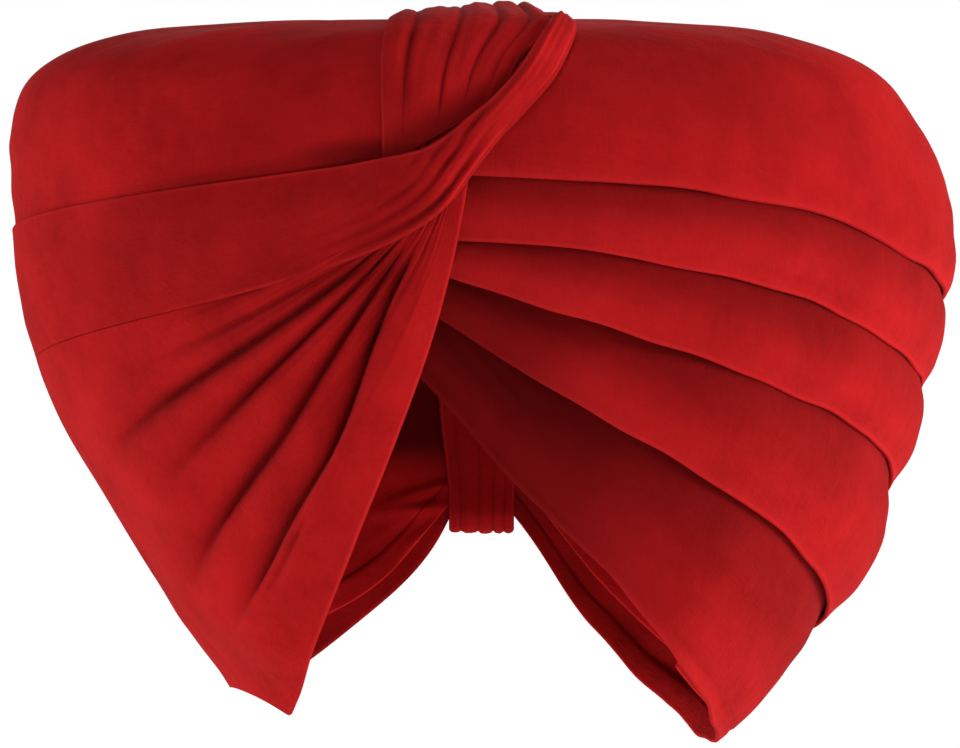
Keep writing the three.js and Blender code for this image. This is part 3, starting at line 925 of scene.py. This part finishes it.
@dataclass
class CrossingBand(BandBase):
    """The roll over the crown and brow, widening beyond the knot to a band round the right side.

    Each bend holds the angle and rise of the bend of a long edge beyond the knot, and of its end.
    """

    knot_share: float = 0.36
    bulge: float = 5.5 * MM
    roll_lift: float = 4.6 * MM
    roll_edge: float = 0.6
    edge_dip: float = 2.6 * MM
    dip_reach: float = 7 * MM
    closed_gap: float = 0.2 * MM
    corner: float = 0.07
    rim_wear_and_highlight: float = 0.6
    lift_brow: float = 8 * MM
    columns: int = 300
    steps: int = 46
    low_bend: tuple[float, ...] = (11, 0.55, 177, 0.476)
    high_bend: tuple[float, ...] = (28, 0.762, 177, 0.64)

    def patch(self) -> Patch:
        """The band's points, its columns running from the tail to the back.

        Returns:
            The grid.
        """
        v = np.linspace(0, 1, self.columns)[None, :]
        along = np.minimum(v / self.knot_share, 1)
        t = np.maximum((v - self.knot_share) / (1 - self.knot_share), 0)
        place = along * (len(self.lines) - 1)
        low, high = self.ends(place)
        bends = np.array(self.low_bend), np.array(self.high_bend)
        edges = [self.bent(start, bend + 0 * t[..., None], t) for start, bend in zip((low, high), bends)]
        breadth = np.linalg.norm(edges[1] - edges[0], axis=-1)
        u, depth, worn_and_highlit_rim = self.across(breadth, self.steps)
        cross = self.form.onto(mix(low, high, u[..., None]))
        beyond = self.bent(cross, mix(*bends, u[..., None]), t)
        guide = self.eased(np.where(t[..., None] > 0, beyond, cross), v[0])
        angle = turn_of(guide)
        lift = np.maximum(self.column("lift", place), 0)
        edge = np.maximum(ease(u, 0, 0.35), ease(along, 0.7, 0.95))
        under = self.ply + self.gap + self.roll_lift * lift * mix(self.roll_edge, 1, edge)
        dip = fade(u * breadth, 0, self.dip_reach) * fade(along, 0.72, 0.9) * np.clip(lift, 0, 1)
        under = under - self.edge_dip * dip
        under = np.where(t > 0, mix(under, self.level(angle), ease(t, 0, 0.1)), under)
        swell = np.sin(math.pi * np.clip(u, 0, 1)) ** 0.6 * self.bulge
        thick = swell * np.where(t > 0, fade(t, 0, 0.2), ease(along, 0.2, 0.75))
        close = ease(u, 0.5, 1) * ease(angle, 13, 20) * (t > 0)
        out = mix(under, self.ply + self.closed_gap, close) + self.ply + thick
        bent = self.creases(u, v, t, breadth)
        # Painted shade in the creases, along the lower edge beyond the knot, and over the band near the
        # brow.
        painted_shade = 0.75 * np.clip(-bent / (0.9 * MM), 0, 1) * fade(t, 0.08, 0.3)
        painted_shade = np.maximum(painted_shade, 0.3 * fade(u, 0.1, 0.5) * ease(t, 0.02, 0.1) * fade(t, 0.2, 0.5))
        painted_shade = np.maximum(painted_shade, 0.26 * ease(t, 0.02, 0.12) * fade(angle, 50, 75))
        # The worn rim with its painted highlight fades round the side, fully on the lower edge.
        worn_and_highlit = self.rim_wear_and_highlight * (1 - mix(1, 0.6, ease(u, 0.4, 0.6)) * ease(angle, 30, 52))
        return Patch(self.raised(guide, out + depth + bent), worn_and_highlit_rim * worn_and_highlit, painted_shade)

    def low_edge(self) -> tuple[Array, Array]:
        """The lower edge beyond the knot.

        Returns:
            Angles from the brow in degrees, and heights over the tips.
        """
        t = np.linspace(0, 1, 200)
        low, _ = self.ends(np.full(t.shape, len(self.lines) - 1.0))
        edge = self.bent(low, np.array(self.low_bend) + 0 * t[:, None], t)
        return turn_of(edge), edge[:, 2]

    def level(self, angle: Array) -> Array:
        """How high over the form the band's underside lies beyond the knot, by the angle from the brow."""
        return mix(self.lift_brow, self.ply + 3 * self.gap, ease(angle, 17, 55))

    def eased(self, guide: Array, v: Array, reach: int = 14) -> Array:
        """Rounds the corner that the band's edges turn at the knot.

        Args:
            guide: Places on the form.
            v: Shares along the band.
            reach: Columns to each side that are averaged.

        Returns:
            The places with the corner rounded.
        """
        weights = np.hanning(2 * reach + 3)[1:-1]
        padded = np.pad(guide, ((0, 0), (reach, reach), (0, 0)), mode="edge")
        soft = sum(w * padded[:, k : k + guide.shape[1]] for k, w in enumerate(weights)) / weights.sum()
        near = np.exp(-(((v - self.knot_share) / self.corner) ** 4))[None, :, None]
        return self.form.onto(mix(guide, soft, near))

    def bent(self, start: Array, bend: Array, t: Array) -> Array:
        """Places on the way from a start along a bend.

        Args:
            start: Points on the brow.
            bend: Angle and rise of the bend and of the end.
            t: Share of the way.

        Returns:
            Points on the form.
        """
        first = self.form.turned(start[..., 0], start[..., 2])
        angle = sweep(t, first, bend[..., 0], bend[..., 2])
        z = sweep(t, start[..., 2], bend[..., 1] * self.form.rise, bend[..., 3] * self.form.rise)
        return self.form.point(-angle, self.form.level(np.maximum(z, 0)))

    def creases(self, u: Array, v: Array, t: Array, breadth: Array) -> Array:
        """Long creases of the bunched cloth, which open out beyond the knot.

        Args:
            u: Shares across the band.
            v: Shares along it.
            t: Shares of the way beyond the knot.
            breadth: The band's breadth.

        Returns:
            Heights to add.
        """
        noise = Noise(self.seed)
        inner = np.clip(u * (1 - u) * 5, 0, 1)
        fine = 0.75 * MM * noise.at(v * 5, u * 5.5 + 3) * fade(t, 0.05, 0.3)
        low_part = np.exp(-u * breadth / (9 * MM)) * ease(v, 0.25, 0.35) * fade(t, 0.14, 0.34)
        pinch = 1.5 * MM * low_part * np.sin(u * breadth / (0.7 * MM) + 0.8 * noise.at(v * 11, 0.5))
        soft = 0.9 * MM * noise.at(v * 7 + 20, u * breadth / 0.022 + 2) * ease(t, 0.02, 0.2)
        return (fine + soft) * inner + pinch * ease(u, 0.02, 0.1)


# The fan's fold lines from the front hem: place on the knot, angle and rise of the bend and of the end.
FOLD_LINES = (
    (0.0, 9, 0.2, 54, 0.043),
    (0.35, 12, 0.28, 72, 0.077),
    (0.55, 19, 0.33, 104, 0.08),
    (0.65, 28, 0.34, 136, 0.102),
    (0.75, 37, 0.36, 165, 0.212),
    (0.9, 32, 0.49, 177, 0.35),
    (1.0, 16, 0.62, 177, 0.52),
)


@dataclass(frozen=True)
class Valley:
    """A valley between two of the fan's bulges.

    The place counts the fold lines from the front hem, and drifts by so many towards the knot. The
    depth and breadths are in metres, the opening and fading in shares of the line's length. A
    lean above 1 makes the hem side steep.
    """

    place: float
    depth: float
    near: float
    far: float
    opens: tuple[float, float]
    fades: tuple[float, float]
    lean: float = 1.0
    sharp: float = 1.0
    drift: float = 0.0

    def dent(self, apart: Array, t: Array) -> Array:
        """How far the valley dents the drape.

        Args:
            apart: Metres from the valley's line, positive away from the front hem.
            t: Shares of the drape's length.

        Returns:
            Depths in metres.
        """
        deep = self.depth * ease(t, *self.opens) * fade(t, *self.fades)
        breadth = mix(self.near, self.far, ease(t, self.opens[0], self.fades[1]))
        breadth = np.where(apart < 0, breadth / self.lean, breadth)
        return deep * np.exp(-np.abs(apart / breadth) ** self.sharp)


VALLEYS = (
    Valley(0.86, 2.5 * MM, 1.0 * MM, 2.4 * MM, (0.5, 0.57), (0.62, 0.76), 1.0, 1.2),
    Valley(1.05, 7.5 * MM, 1.6 * MM, 5.5 * MM, (0.06, 0.16), (0.6, 0.84), 3.0, 0.9, 1.0),
    Valley(1.83, 7.5 * MM, 1.7 * MM, 4.5 * MM, (0.05, 0.16), (0.5, 0.8), 1.2, 0.9, 0.8),
    Valley(2.9, 6.5 * MM, 1.7 * MM, 5 * MM, (0.05, 0.14), (0.32, 0.6), 1.1, 1.0, 0.3),
    Valley(3.92, 6.5 * MM, 1.7 * MM, 5 * MM, (0.05, 0.16), (0.36, 0.62), 1.0, 1.0, -0.15),
    Valley(4.62, 4 * MM, 1.8 * MM, 4.5 * MM, (0.06, 0.18), (0.28, 0.5), 1.0, 1.1, -0.3),
    Valley(5.2, 2 * MM, 2.0 * MM, 6 * MM, (0.06, 0.18), (0.28, 0.58), 1.0, 1.2),
)


@dataclass
class Ruler:
    """Distances across the drape, row by row, at closely spaced fold numbers."""

    folds: Array
    metres: Array

    def at(self, place: Array) -> Array:
        """Metres across the drape at fold numbers given for each row."""
        return np.stack([np.interp(p, self.folds, m) for p, m in zip(place, self.metres)])


@dataclass
class FanDrape(Sheet):
    """The drape that fans out from under the band and falls to the low point.

    The crown is the height of its middle, the strip that of the flat front edge, and the floor
    the least that its valleys leave. Some of its columns are covered by the band. Beyond the front
    it rises along a bank up to the band's lower edge, which it meets between two fold numbers. The
    lip says how far its last open columns lie from that edge.
    """

    knot: tuple[float, float, float, float] = (-0.022, 0.782, -0.1, 0.772)
    lift_brow: float = 5 * MM
    crown: float = 6.5 * MM
    strip: float = 4 * MM
    strip_breadth: float = 2.4 * MM
    rim_wear_and_highlight: float = 0.4
    floor: float = 0.4 * MM
    bank: float = 26 * MM
    lip: tuple[float, ...] = (1.0 * MM, 0.4 * MM, 0.12 * MM, 0.02 * MM)
    lip_end: float = 0.07 * MM
    meets: tuple[float, float] = (4.4, 5.9)
    hem: Hem = Hem(radius=1.0 * MM, back=10 * MM)
    band: CrossingBand | None = None
    columns: int = 210
    covered: int = 30
    rows: int = 190
    marks: int = 241
    per_fold: int = 40

    def lines(self, place: Array, t: Array) -> tuple[Array, Array]:
        """Places on the form under the drape.

        Args:
            place: Fold numbers with fractions, from the front hem.
            t: Shares of the way out from the knot.

        Returns:
            Points on the form and their angles from the brow.
        """
        table = np.moveaxis(spline(np.array(FOLD_LINES), place), -1, 0)
        gather, bend_angle, bend_rise, end_angle, end_rise = table
        rise = self.form.rise
        x = mix(self.knot[0], self.knot[2], gather) * self.form.width / 2
        z = mix(self.knot[1], self.knot[3], gather) * rise
        angle = sweep(t, self.form.turned(x, z), bend_angle, end_angle)
        height = sweep(t, z, bend_rise * rise, end_rise * rise)
        return self.form.point(-angle, self.form.level(np.maximum(height, 0))), angle

    def patch(self) -> Patch:
        """The drape's points, its rows running out from the knot.

        Returns:
            The grid.
        """
        t = np.linspace(0, 1, self.rows)[:, None] ** 0.92
        folds = np.linspace(0, len(FOLD_LINES) - 1, self.marks)
        probed, _ = self.lines(folds + 0 * t, t + 0 * folds)
        ruler = Ruler(folds, run(probed, 1))
        meet, scale = self.under_band(probed, ruler, t)
        place, depth, worn_and_highlit_rim = self.places(ruler, meet, scale)
        guide, angle = self.lines(place, t + 0 * place)
        here, turn = ruler.at(place), turn_of(guide)
        out = mix(self.lift_brow, self.gap, ease(angle, 17, 40)) + self.ply
        floor = out + self.floor
        full = ease(t, 0.05, 0.2) * fade(t, 0.75, 1.0) * fade(place, 4.3, 5.5) * fade(angle, 44, 78)
        out = out + self.crown * full * ease(here, -8 * MM, 16 * MM)
        edge = ruler.at(1 + 0 * t)
        past = np.exp(-((np.maximum(here - edge, 0) / self.strip_breadth) ** 1.2))
        strip = np.where(here < edge, np.maximum(here / edge, 0) ** 0.8, past)
        out = out + self.strip * strip * ease(t, 0.06, 0.24) * fade(t, 0.55, 0.88)
        sunk = 0 * out
        for valley in VALLEYS:
            line = ruler.at(valley.place + valley.drift * fade(t, 0.05, 0.45))
            sunk = sunk + valley.dent(here - line, t) * fade(place, 5.6, 6.0)
        out = np.maximum(out - sunk, np.minimum(floor, out - sunk + 2 * MM))
        side = ease(turn, 36, 54) * fade(turn, 140, 160)
        below = np.exp(-(((ruler.at(meet) - here) / self.bank) ** 2))
        bank = side * np.where(place < meet - self.lip_end / scale, below, 0)
        out = mix(out, self.band.level(turn) + self.ply, bank)
        crease = self.creases(here, t, place) * fade(place, 5.4, 6.0) * (1 - bank)
        # Painted shade in the valleys and creases, and a painted shadow along the band's lower edge, left
        # out round the side but not at the back.
        painted_shade = 0.85 * np.clip(sunk / (6 * MM), 0, 1) ** 1.7
        painted_shade = painted_shade + 0.35 * np.clip(-crease / (0.6 * MM), 0, 1) * (t < 0.4)
        painted_shade = np.maximum(painted_shade, 0.6 * ease(place, 4.9, 5.35) * (1 - side))
        out = out + crease + depth * ease(t, -0.02, 0.06)
        return Patch(self.raised(guide, out), worn_and_highlit_rim * self.rim_wear_and_highlight + 0 * t, painted_shade)

    def places(self, ruler: Ruler, meet: Array, scale: Array) -> tuple[Array, Array, Array]:
        """Sets out the columns: the front hem, the face, the lip beside the band and what it covers.

        Args:
            ruler: Distances across the drape.
            meet: Fold numbers where it passes under the band.
            scale: Metres for each fold number there.

        Returns:
            Fold numbers with fractions, depths of the hem, and how far each column is rim.
        """
        near = int(0.3 * self.per_fold)
        per_place = ruler.metres[:, near : near + 1] / ruler.folds[near]
        along, depth, worn_and_highlit_rim = self.hem.rows(np.zeros(self.columns - 1))
        lip = meet - np.array([self.lip]) / scale
        share = np.linspace(0, 1, self.columns + 1 - len(self.lip) - self.covered)[None, 1:]
        face = mix(np.minimum(self.hem.radius / per_place, 0.3), lip[:, :1], share)
        hidden = mix(lip[:, -1:], ruler.folds[-1], np.linspace(0, 1, self.covered + 1)[None, 1:])
        inner = np.minimum(along[None, :] / per_place, 0.6)
        return np.concatenate([inner, face, lip[:, 1:], hidden], axis=1), depth.T, worn_and_highlit_rim.T

    def under_band(self, probed: Array, ruler: Ruler, t: Array) -> tuple[Array, Array]:
        """Where the drape passes under the band's lower edge.

        Args:
            probed: Points on the form at the ruler's marks.
            ruler: Distances across the drape.
            t: Shares of the way out from the knot.

        Returns:
            Fold numbers with fractions, and metres for each fold number there.
        """
        over = probed[..., 2] - np.interp(turn_of(probed), *self.band.low_edge())
        half = self.marks // 2
        meet = np.array([np.interp(0, row[half:], ruler.folds[half:]) for row in over])
        opened, reach = 0.3, 0.1
        meet = np.where(t[:, 0] > opened, meet, np.interp(opened, t[:, 0], meet))
        meet = np.clip(meet, *self.meets)[:, None]
        return meet, (ruler.at(meet + reach) - ruler.at(meet - reach)) / (2 * reach)

    def creases(self, here: Array, t: Array, place: Array) -> Array:
        """Small pleats near the knot, and the soft unevenness further out.

        Args:
            here: Metres across the drape from its front hem.
            t: Shares of the way out from the knot.
            place: Fold numbers with fractions.

        Returns:
            Heights to add.
        """
        noise = Noise(self.seed)
        pleats = 0.6 * MM * noise.at(place * 6, t * 3.5 + 2) * fade(t, 0.18, 0.5) * ease(place, 0.8, 1.3)
        return pleats + 0.9 * MM * noise.at(here / 0.028 + 5, t * 7) * ease(t, 0.25, 0.6)


@dataclass
class CrownStrap(BandBase):
    """The pleated strap over the crown, with the gathered tail that turns up inside the back.

    The valleys are shares across it, and each has its pleat's height as a share of the full one.
    """

    over: float = 0.76
    rim_wear_and_highlight: float = 0.6
    pleat: float = 2 * MM
    lift: float = 1.6 * MM
    edge_drop: float = 1.5 * MM
    tilt: float = 2.4 * MM
    tail_width: float = 22 * MM
    tail_side: float = 0.5 * MM
    turn_rise: float = 0.315
    room: float = 7 * MM
    loop: float = 46 * MM
    columns: int = 250
    steps: int = 84
    valleys: tuple[float, ...] = (0.0, 0.18, 0.46, 0.68, 0.85, 1.0)
    heights: tuple[float, ...] = (0.6, 0.7, 1.0, 1.0, 0.9, 0.8)

    def patch(self) -> Patch:
        """The strap's points, its columns running from the foot to the tail's end.

        Returns:
            The grid.
        """
        v = np.linspace(0, 1, self.columns)[None, :]
        along = np.minimum(v / self.over, 1)
        w = np.maximum((v - self.over) / (1 - self.over), 0)
        place = along * (len(self.lines) - 1)
        low, high = self.ends(place)
        breadth = np.maximum(np.linalg.norm(high - low, axis=-1), self.tail_width)
        u, depth, worn_and_highlit_rim = self.across(breadth, self.steps)
        guide = self.form.onto(mix(low, high, u[..., None]))
        lift = self.lift * self.column("lift", place)
        tilt = self.tilt * self.column("tilt", place) * ease(u, 0.2, 0.8)
        pleat = self.pleats(u, v)
        out = 2 * self.ply + self.gap + lift + tilt + pleat * ease(along, 0.02, 0.1) + depth
        aside = np.minimum(u, 1 - u) * breadth
        out = out - self.edge_drop * fade(aside, 0, 6 * MM) * fade(along, 0.9, 1)
        outside = self.raised(guide, out)
        inside = self.tail(u, w + 0 * u, pleat * 0.6 + depth)
        # Painted shade in the pleats' valleys and at the strap's foot, halved on the tail.
        painted_shade = 0.75 * (1 - np.clip(pleat / (self.pleat * 0.75), 0, 1)) ** 1.5
        painted_shade = np.maximum(painted_shade, 0.6 * fade(along, 0.03, 0.09)) * np.where(w > 0, 0.5, 1)
        return Patch(np.where(w[..., None] > 0, inside, outside), worn_and_highlit_rim * self.rim_wear_and_highlight + 0 * out, painted_shade)

    def pleats(self, u: Array, v: Array) -> Array:
        """Heights of the strap's pleats and of the fine creases on them.

        Args:
            u: Shares across the strap.
            v: Shares along it.

        Returns:
            Heights to add.
        """
        place = np.interp(u, self.valleys, range(len(self.valleys)))
        full = np.interp(place, range(len(self.heights)), self.heights)
        noise = Noise(self.seed)
        swell = np.abs(np.sin(math.pi * (place + 0.1 * noise.at(v * 9, place)))) ** 0.4
        fine = 0.5 * MM * noise.at(v * 12 + 4, u * 17)
        return self.pleat * full * swell + fine * np.clip(u * (1 - u) * 8, 0, 1)

    def tail(self, u: Array, w: Array, out: Array) -> Array:
        """The tail's points, down the back, round the hems and up inside.

        Args:
            u: Shares across the tail.
            w: Shares along it.
            out: Heights over its mean surface.

        Returns:
            The points.
        """

        def back(x: Array, z: Array) -> Array:
            """Places on the form's back."""
            return self.form.on_side(Ground.BACK, x, z)

        start = self.lines[-1]
        top, turn_z = start.low * self.form.rise, self.turn_rise * self.form.rise
        base = 2 * self.ply + self.gap + self.lift
        radius = (self.room + base + self.gap) / 2
        down, turn = top - turn_z, math.pi * radius
        path = w * (down + turn + self.loop)
        first = mix(start.low_x, start.high_x, u) * self.form.width / 2
        flare = 1 + 0.35 * ease(path, down + turn, down + turn + self.loop)
        gathered = self.tail_width * flare * (u - 0.5) + self.tail_side
        x = mix(first, gathered, ease(path, 0, down + turn / 2))
        foot = back(np.array(0.0), np.array(turn_z))
        middle = foot[1] + base - radius
        outer = back(0 * x, top - np.clip(path, 0, down))
        lean = self.form.normal(outer)
        a = np.clip(path - down, 0, turn) / radius
        rising = np.maximum(path - down - turn, 0)
        inner = back(0 * x, turn_z + rising)
        falls, rises = path < down, rising > 0
        y = np.where(falls, outer[..., 1] + base * lean[..., 1], middle + radius * np.cos(a))
        y = np.where(rises, middle - radius + inner[..., 1] - foot[1], y)
        z = np.where(falls, outer[..., 2] + base * lean[..., 2], turn_z - radius * np.sin(a) + rising)
        ny = np.where(falls, lean[..., 1], np.where(rises, -1, np.cos(a)))
        nz = np.where(falls, lean[..., 2], np.where(rises, 0, -np.sin(a)))
        level = np.maximum(z, turn_z)
        bow = back(x, level)[..., 1] - back(0 * x, level)[..., 1]
        return np.stack([x, y + bow + ny * out, z + nz * out], axis=-1)


@dataclass
class Turban:
    """The whole turban."""

    form: Form

    def pieces(self) -> list[Sheet]:
        """Lists the turban's pieces, from the inside out.

        Returns:
            The pieces, ready to build.
        """
        form, stretched, gathered = self.form, Hold.STRETCHED, Hold.GATHERED
        outer = Cotton("red_cotton")
        # The inside cloth is the red cotton painted lighter, so that the inner wraps look more lit.
        inner = Cotton("red_cotton_inside_painted_lighter", light=(0.72, 0.013, 0.015), deep=(0.5, 0.008, 0.009))
        inside = (
            Crease(177.5, 84 * MM, 163, 75 * MM, 3.4 * MM, 2.2 * MM),
            Crease(178, 74 * MM, 160, 73 * MM, 3.6 * MM, 2.6 * MM),
            Crease(175, 72 * MM, 164, 58 * MM, 3.2 * MM, 2.6 * MM),
            Crease(176, 79 * MM, 158, 62 * MM, 1.4 * MM, 2.4 * MM),
        )
        under = dict(start=42.0, top=0.54)
        panel = dict(top=0.988, rows=110)
        made: list[Sheet] = [
            UnderWrap("inner_wrap_left", "under_wrap_left", "inner_cotton", inner, stretched,
                      ("wrap_left_5",), form, 3, columns=170, rows=40, **under),
            UnderWrap("inner_wrap_right", "under_wrap_right", "inner_cotton", inner, stretched,
                      ("fan_drape",), form, 4, columns=240, rows=56, side=-1, lift=1 * MM,
                      shares=UNDER_RIGHT, creases=inside, **under),
            CrownPanel("crown_panel", "crown_cover", "crown_cotton", outer, stretched,
                       ("crown_strap",), form, 5, columns=220, side=-1, start=7.2, **panel),
            CrownPanel("wrap_over_crown", "wrap_left_1", "wrap_cotton", outer, stretched,
                       ("wrap_left_2",), form, 6, start=-6.0, **panel),
        ]
        starts = ((-6.5, 0.0), (-12, 0.1), (-15, 0.8), (-20, 1.3))
        # Painted dusk at the brow for each wrap: strength, then the angles between which it fades.
        painted_dusks = ((0.1, 0, 20), (0.1, 0, 20), (0.55, 2, 22), (0.7, 6, 42))
        for index, ((start, sink), painted_dusk) in enumerate(zip(starts, painted_dusks), 1):
            made.append(Wrap(f"wrap_{index + 1}", f"wrap_left_{index + 1}", "wrap_cotton", outer, stretched,
                             (f"wrap_left_{index}",), form, 10 + index, index=index, start=start,
                             sink=sink, painted_dusk=painted_dusk))
        band = CrossingBand("rolled_band", "crossing_band", "drape_cotton", outer, gathered,
                            ("fan_drape", "crown_cover", "crown_strap"), form, 23, lines=ROLL_LINES)
        made += [
            CrownStrap("pleated_strap", "crown_strap", "strap_cotton", outer, gathered,
                       ("wrap_left_1", "crown_cover"), form, 21, lines=STRAP_LINES),
            FanDrape("fan_of_folds", "fan_drape", "drape_cotton", outer, gathered,
                     ("under_wrap_right", "wrap_left_3"), form, 22, band=band),
            band,
        ]
        return made

    def build(self) -> list[bpy.types.Object]:
        """Builds every piece."""
        return [sheet.build() for sheet in self.pieces()]


@dataclass(frozen=True)
class Softbox:
    """A soft studio lamp, by the angle and height that it shines from."""

    name: str
    azimuth: float
    elevation: float
    power: float
    distance: float = 1.5
    size: float = 0.8

    def build(self, target: Vector) -> bpy.types.Object:
        """Hangs the lamp, turned towards the object.

        Args:
            target: The point that it shines on.

        Returns:
            The lamp.
        """
        data = bpy.data.lights.new(self.name, "AREA")
        data.shape = "DISK"
        data.size = self.size
        data.energy = self.power
        lamp = add_object(self.name, data)
        turn, rise = math.radians(self.azimuth), math.radians(self.elevation)
        way = Vector((math.sin(turn) * math.cos(rise), -math.cos(turn) * math.cos(rise), math.sin(rise)))
        lamp.location = target + way * self.distance
        lamp.rotation_euler = (-way).to_track_quat("-Z", "Y").to_euler()
        lamp.visible_camera = False
        return lamp


@dataclass
class Studio:
    """The plain pale floor, the soft light and the camera.

    The camera looks at a point so far above the tips, which lie on that row of the photograph.
    """

    floor_z: float = -0.9
    floor_size: float = 160.0
    target: tuple[float, float, float] = (0.0, 0.0, -0.118)
    target_height: float = 118 * MM
    distance: float = 5.0
    pixel: float = 0.33 * MM
    image: tuple[int, int] = (960, 748)
    tips_row: float = 740.0
    sensor: float = 36.0
    lamps: tuple[Softbox, ...] = (
        Softbox("key_right", 72, 14, 12.0),
        Softbox("key_left", -75, -12, 6.0),
        Softbox("rim_right", 110, -15, 7.5),
        Softbox("rim_left", -110, -10, 6.0),
        Softbox("top_front", 15, 70, 6.5),
        Softbox("low_front", 5, -30, 6.0),
        Softbox("back_fill", 180, 15, 8.0, 1.8, 1.0),
    )

    def build(self) -> None:
        """Sets up the floor, the world, the lamps and the camera."""
        bm = bmesh.new()
        bmesh.ops.create_grid(bm, x_segments=8, y_segments=8, size=self.floor_size / 2)
        bmesh.ops.translate(bm, verts=bm.verts, vec=(0, 0, self.floor_z))
        mesh = bpy.data.meshes.new("floor")
        bm.to_mesh(mesh)
        bm.free()
        mesh.materials.append(self.floor_paint())
        add_object("floor", mesh)
        self.world()
        target = Vector(self.target)
        for lamp in self.lamps:
            lamp.build(target)
        self.camera(target)

    def floor_paint(self) -> bpy.types.Material:
        """A pale floor with a painted glow that grows towards the horizon, like a lit studio sweep.

        Returns:
            The material.
        """
        paint = bpy.data.materials.new("pale_floor")
        paint.use_nodes = True
        tree = paint.node_tree
        place = add_node(tree, "TexCoord", {}).outputs["Object"]
        far = add_node(tree, "VectorMath", {0: place}, operation="LENGTH").outputs["Value"]
        reach = {"Value": far, "From Min": 1.5, "From Max": 9.0, "To Min": 0.02, "To Max": 1.0}
        feed(tree, tree.nodes["Principled BSDF"], {
            "Base Color": (0.86, 0.86, 0.86, 1),
            "Roughness": 0.9,
            "Specular IOR Level": 0.1,
            # The floor's glow is painted in as emission, growing with distance from the middle.
            "Emission Color": (1, 1, 1, 1),
            "Emission Strength": add_node(tree, "MapRange", reach).outputs["Result"],
        })
        return paint

    def world(self) -> None:
        """A white surround, bright at the horizon and dimmer above and below."""
        world = bpy.data.worlds.new("studio")
        bpy.context.scene.world = world
        world.use_nodes = True
        tree = world.node_tree
        place = add_node(tree, "TexCoord", {}).outputs["Generated"]
        height = add_node(tree, "SeparateXYZ", {"Vector": place}).outputs["Z"]
        size = add_node(tree, "Math", {0: height}, operation="ABSOLUTE").outputs[0]
        glow = add_ramp(tree, size, (0.05, (1, 1, 1)), (0.09, (0.03, 0.03, 0.03)))
        feed(tree, tree.nodes["Background"], {"Color": glow})

    def camera(self, target: Vector) -> None:
        """Places the camera straight before the brow, as in the photograph.

        Args:
            target: The point that it looks at.
        """
        data = bpy.data.cameras.new("camera")
        data.sensor_fit = "HORIZONTAL"
        data.sensor_width = self.sensor
        data.lens = self.sensor * self.distance / (self.pixel * self.image[0])
        data.clip_end = 200
        target_row = self.tips_row - self.target_height / self.pixel
        data.shift_y = (target_row - self.image[1] / 2) / self.image[0]
        camera = add_object("camera", data)
        camera.location = target + Vector((0, -self.distance, 0))
        camera.rotation_euler = (math.pi / 2, 0, 0)
        bpy.context.scene.camera = camera
        bpy.context.scene.view_settings.view_transform = "Standard"


def main() -> None:
    """Builds the turban and its studio."""
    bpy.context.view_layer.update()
    Turban(Form()).build()
    Studio().build()


if __name__ == "__main__":
    main()
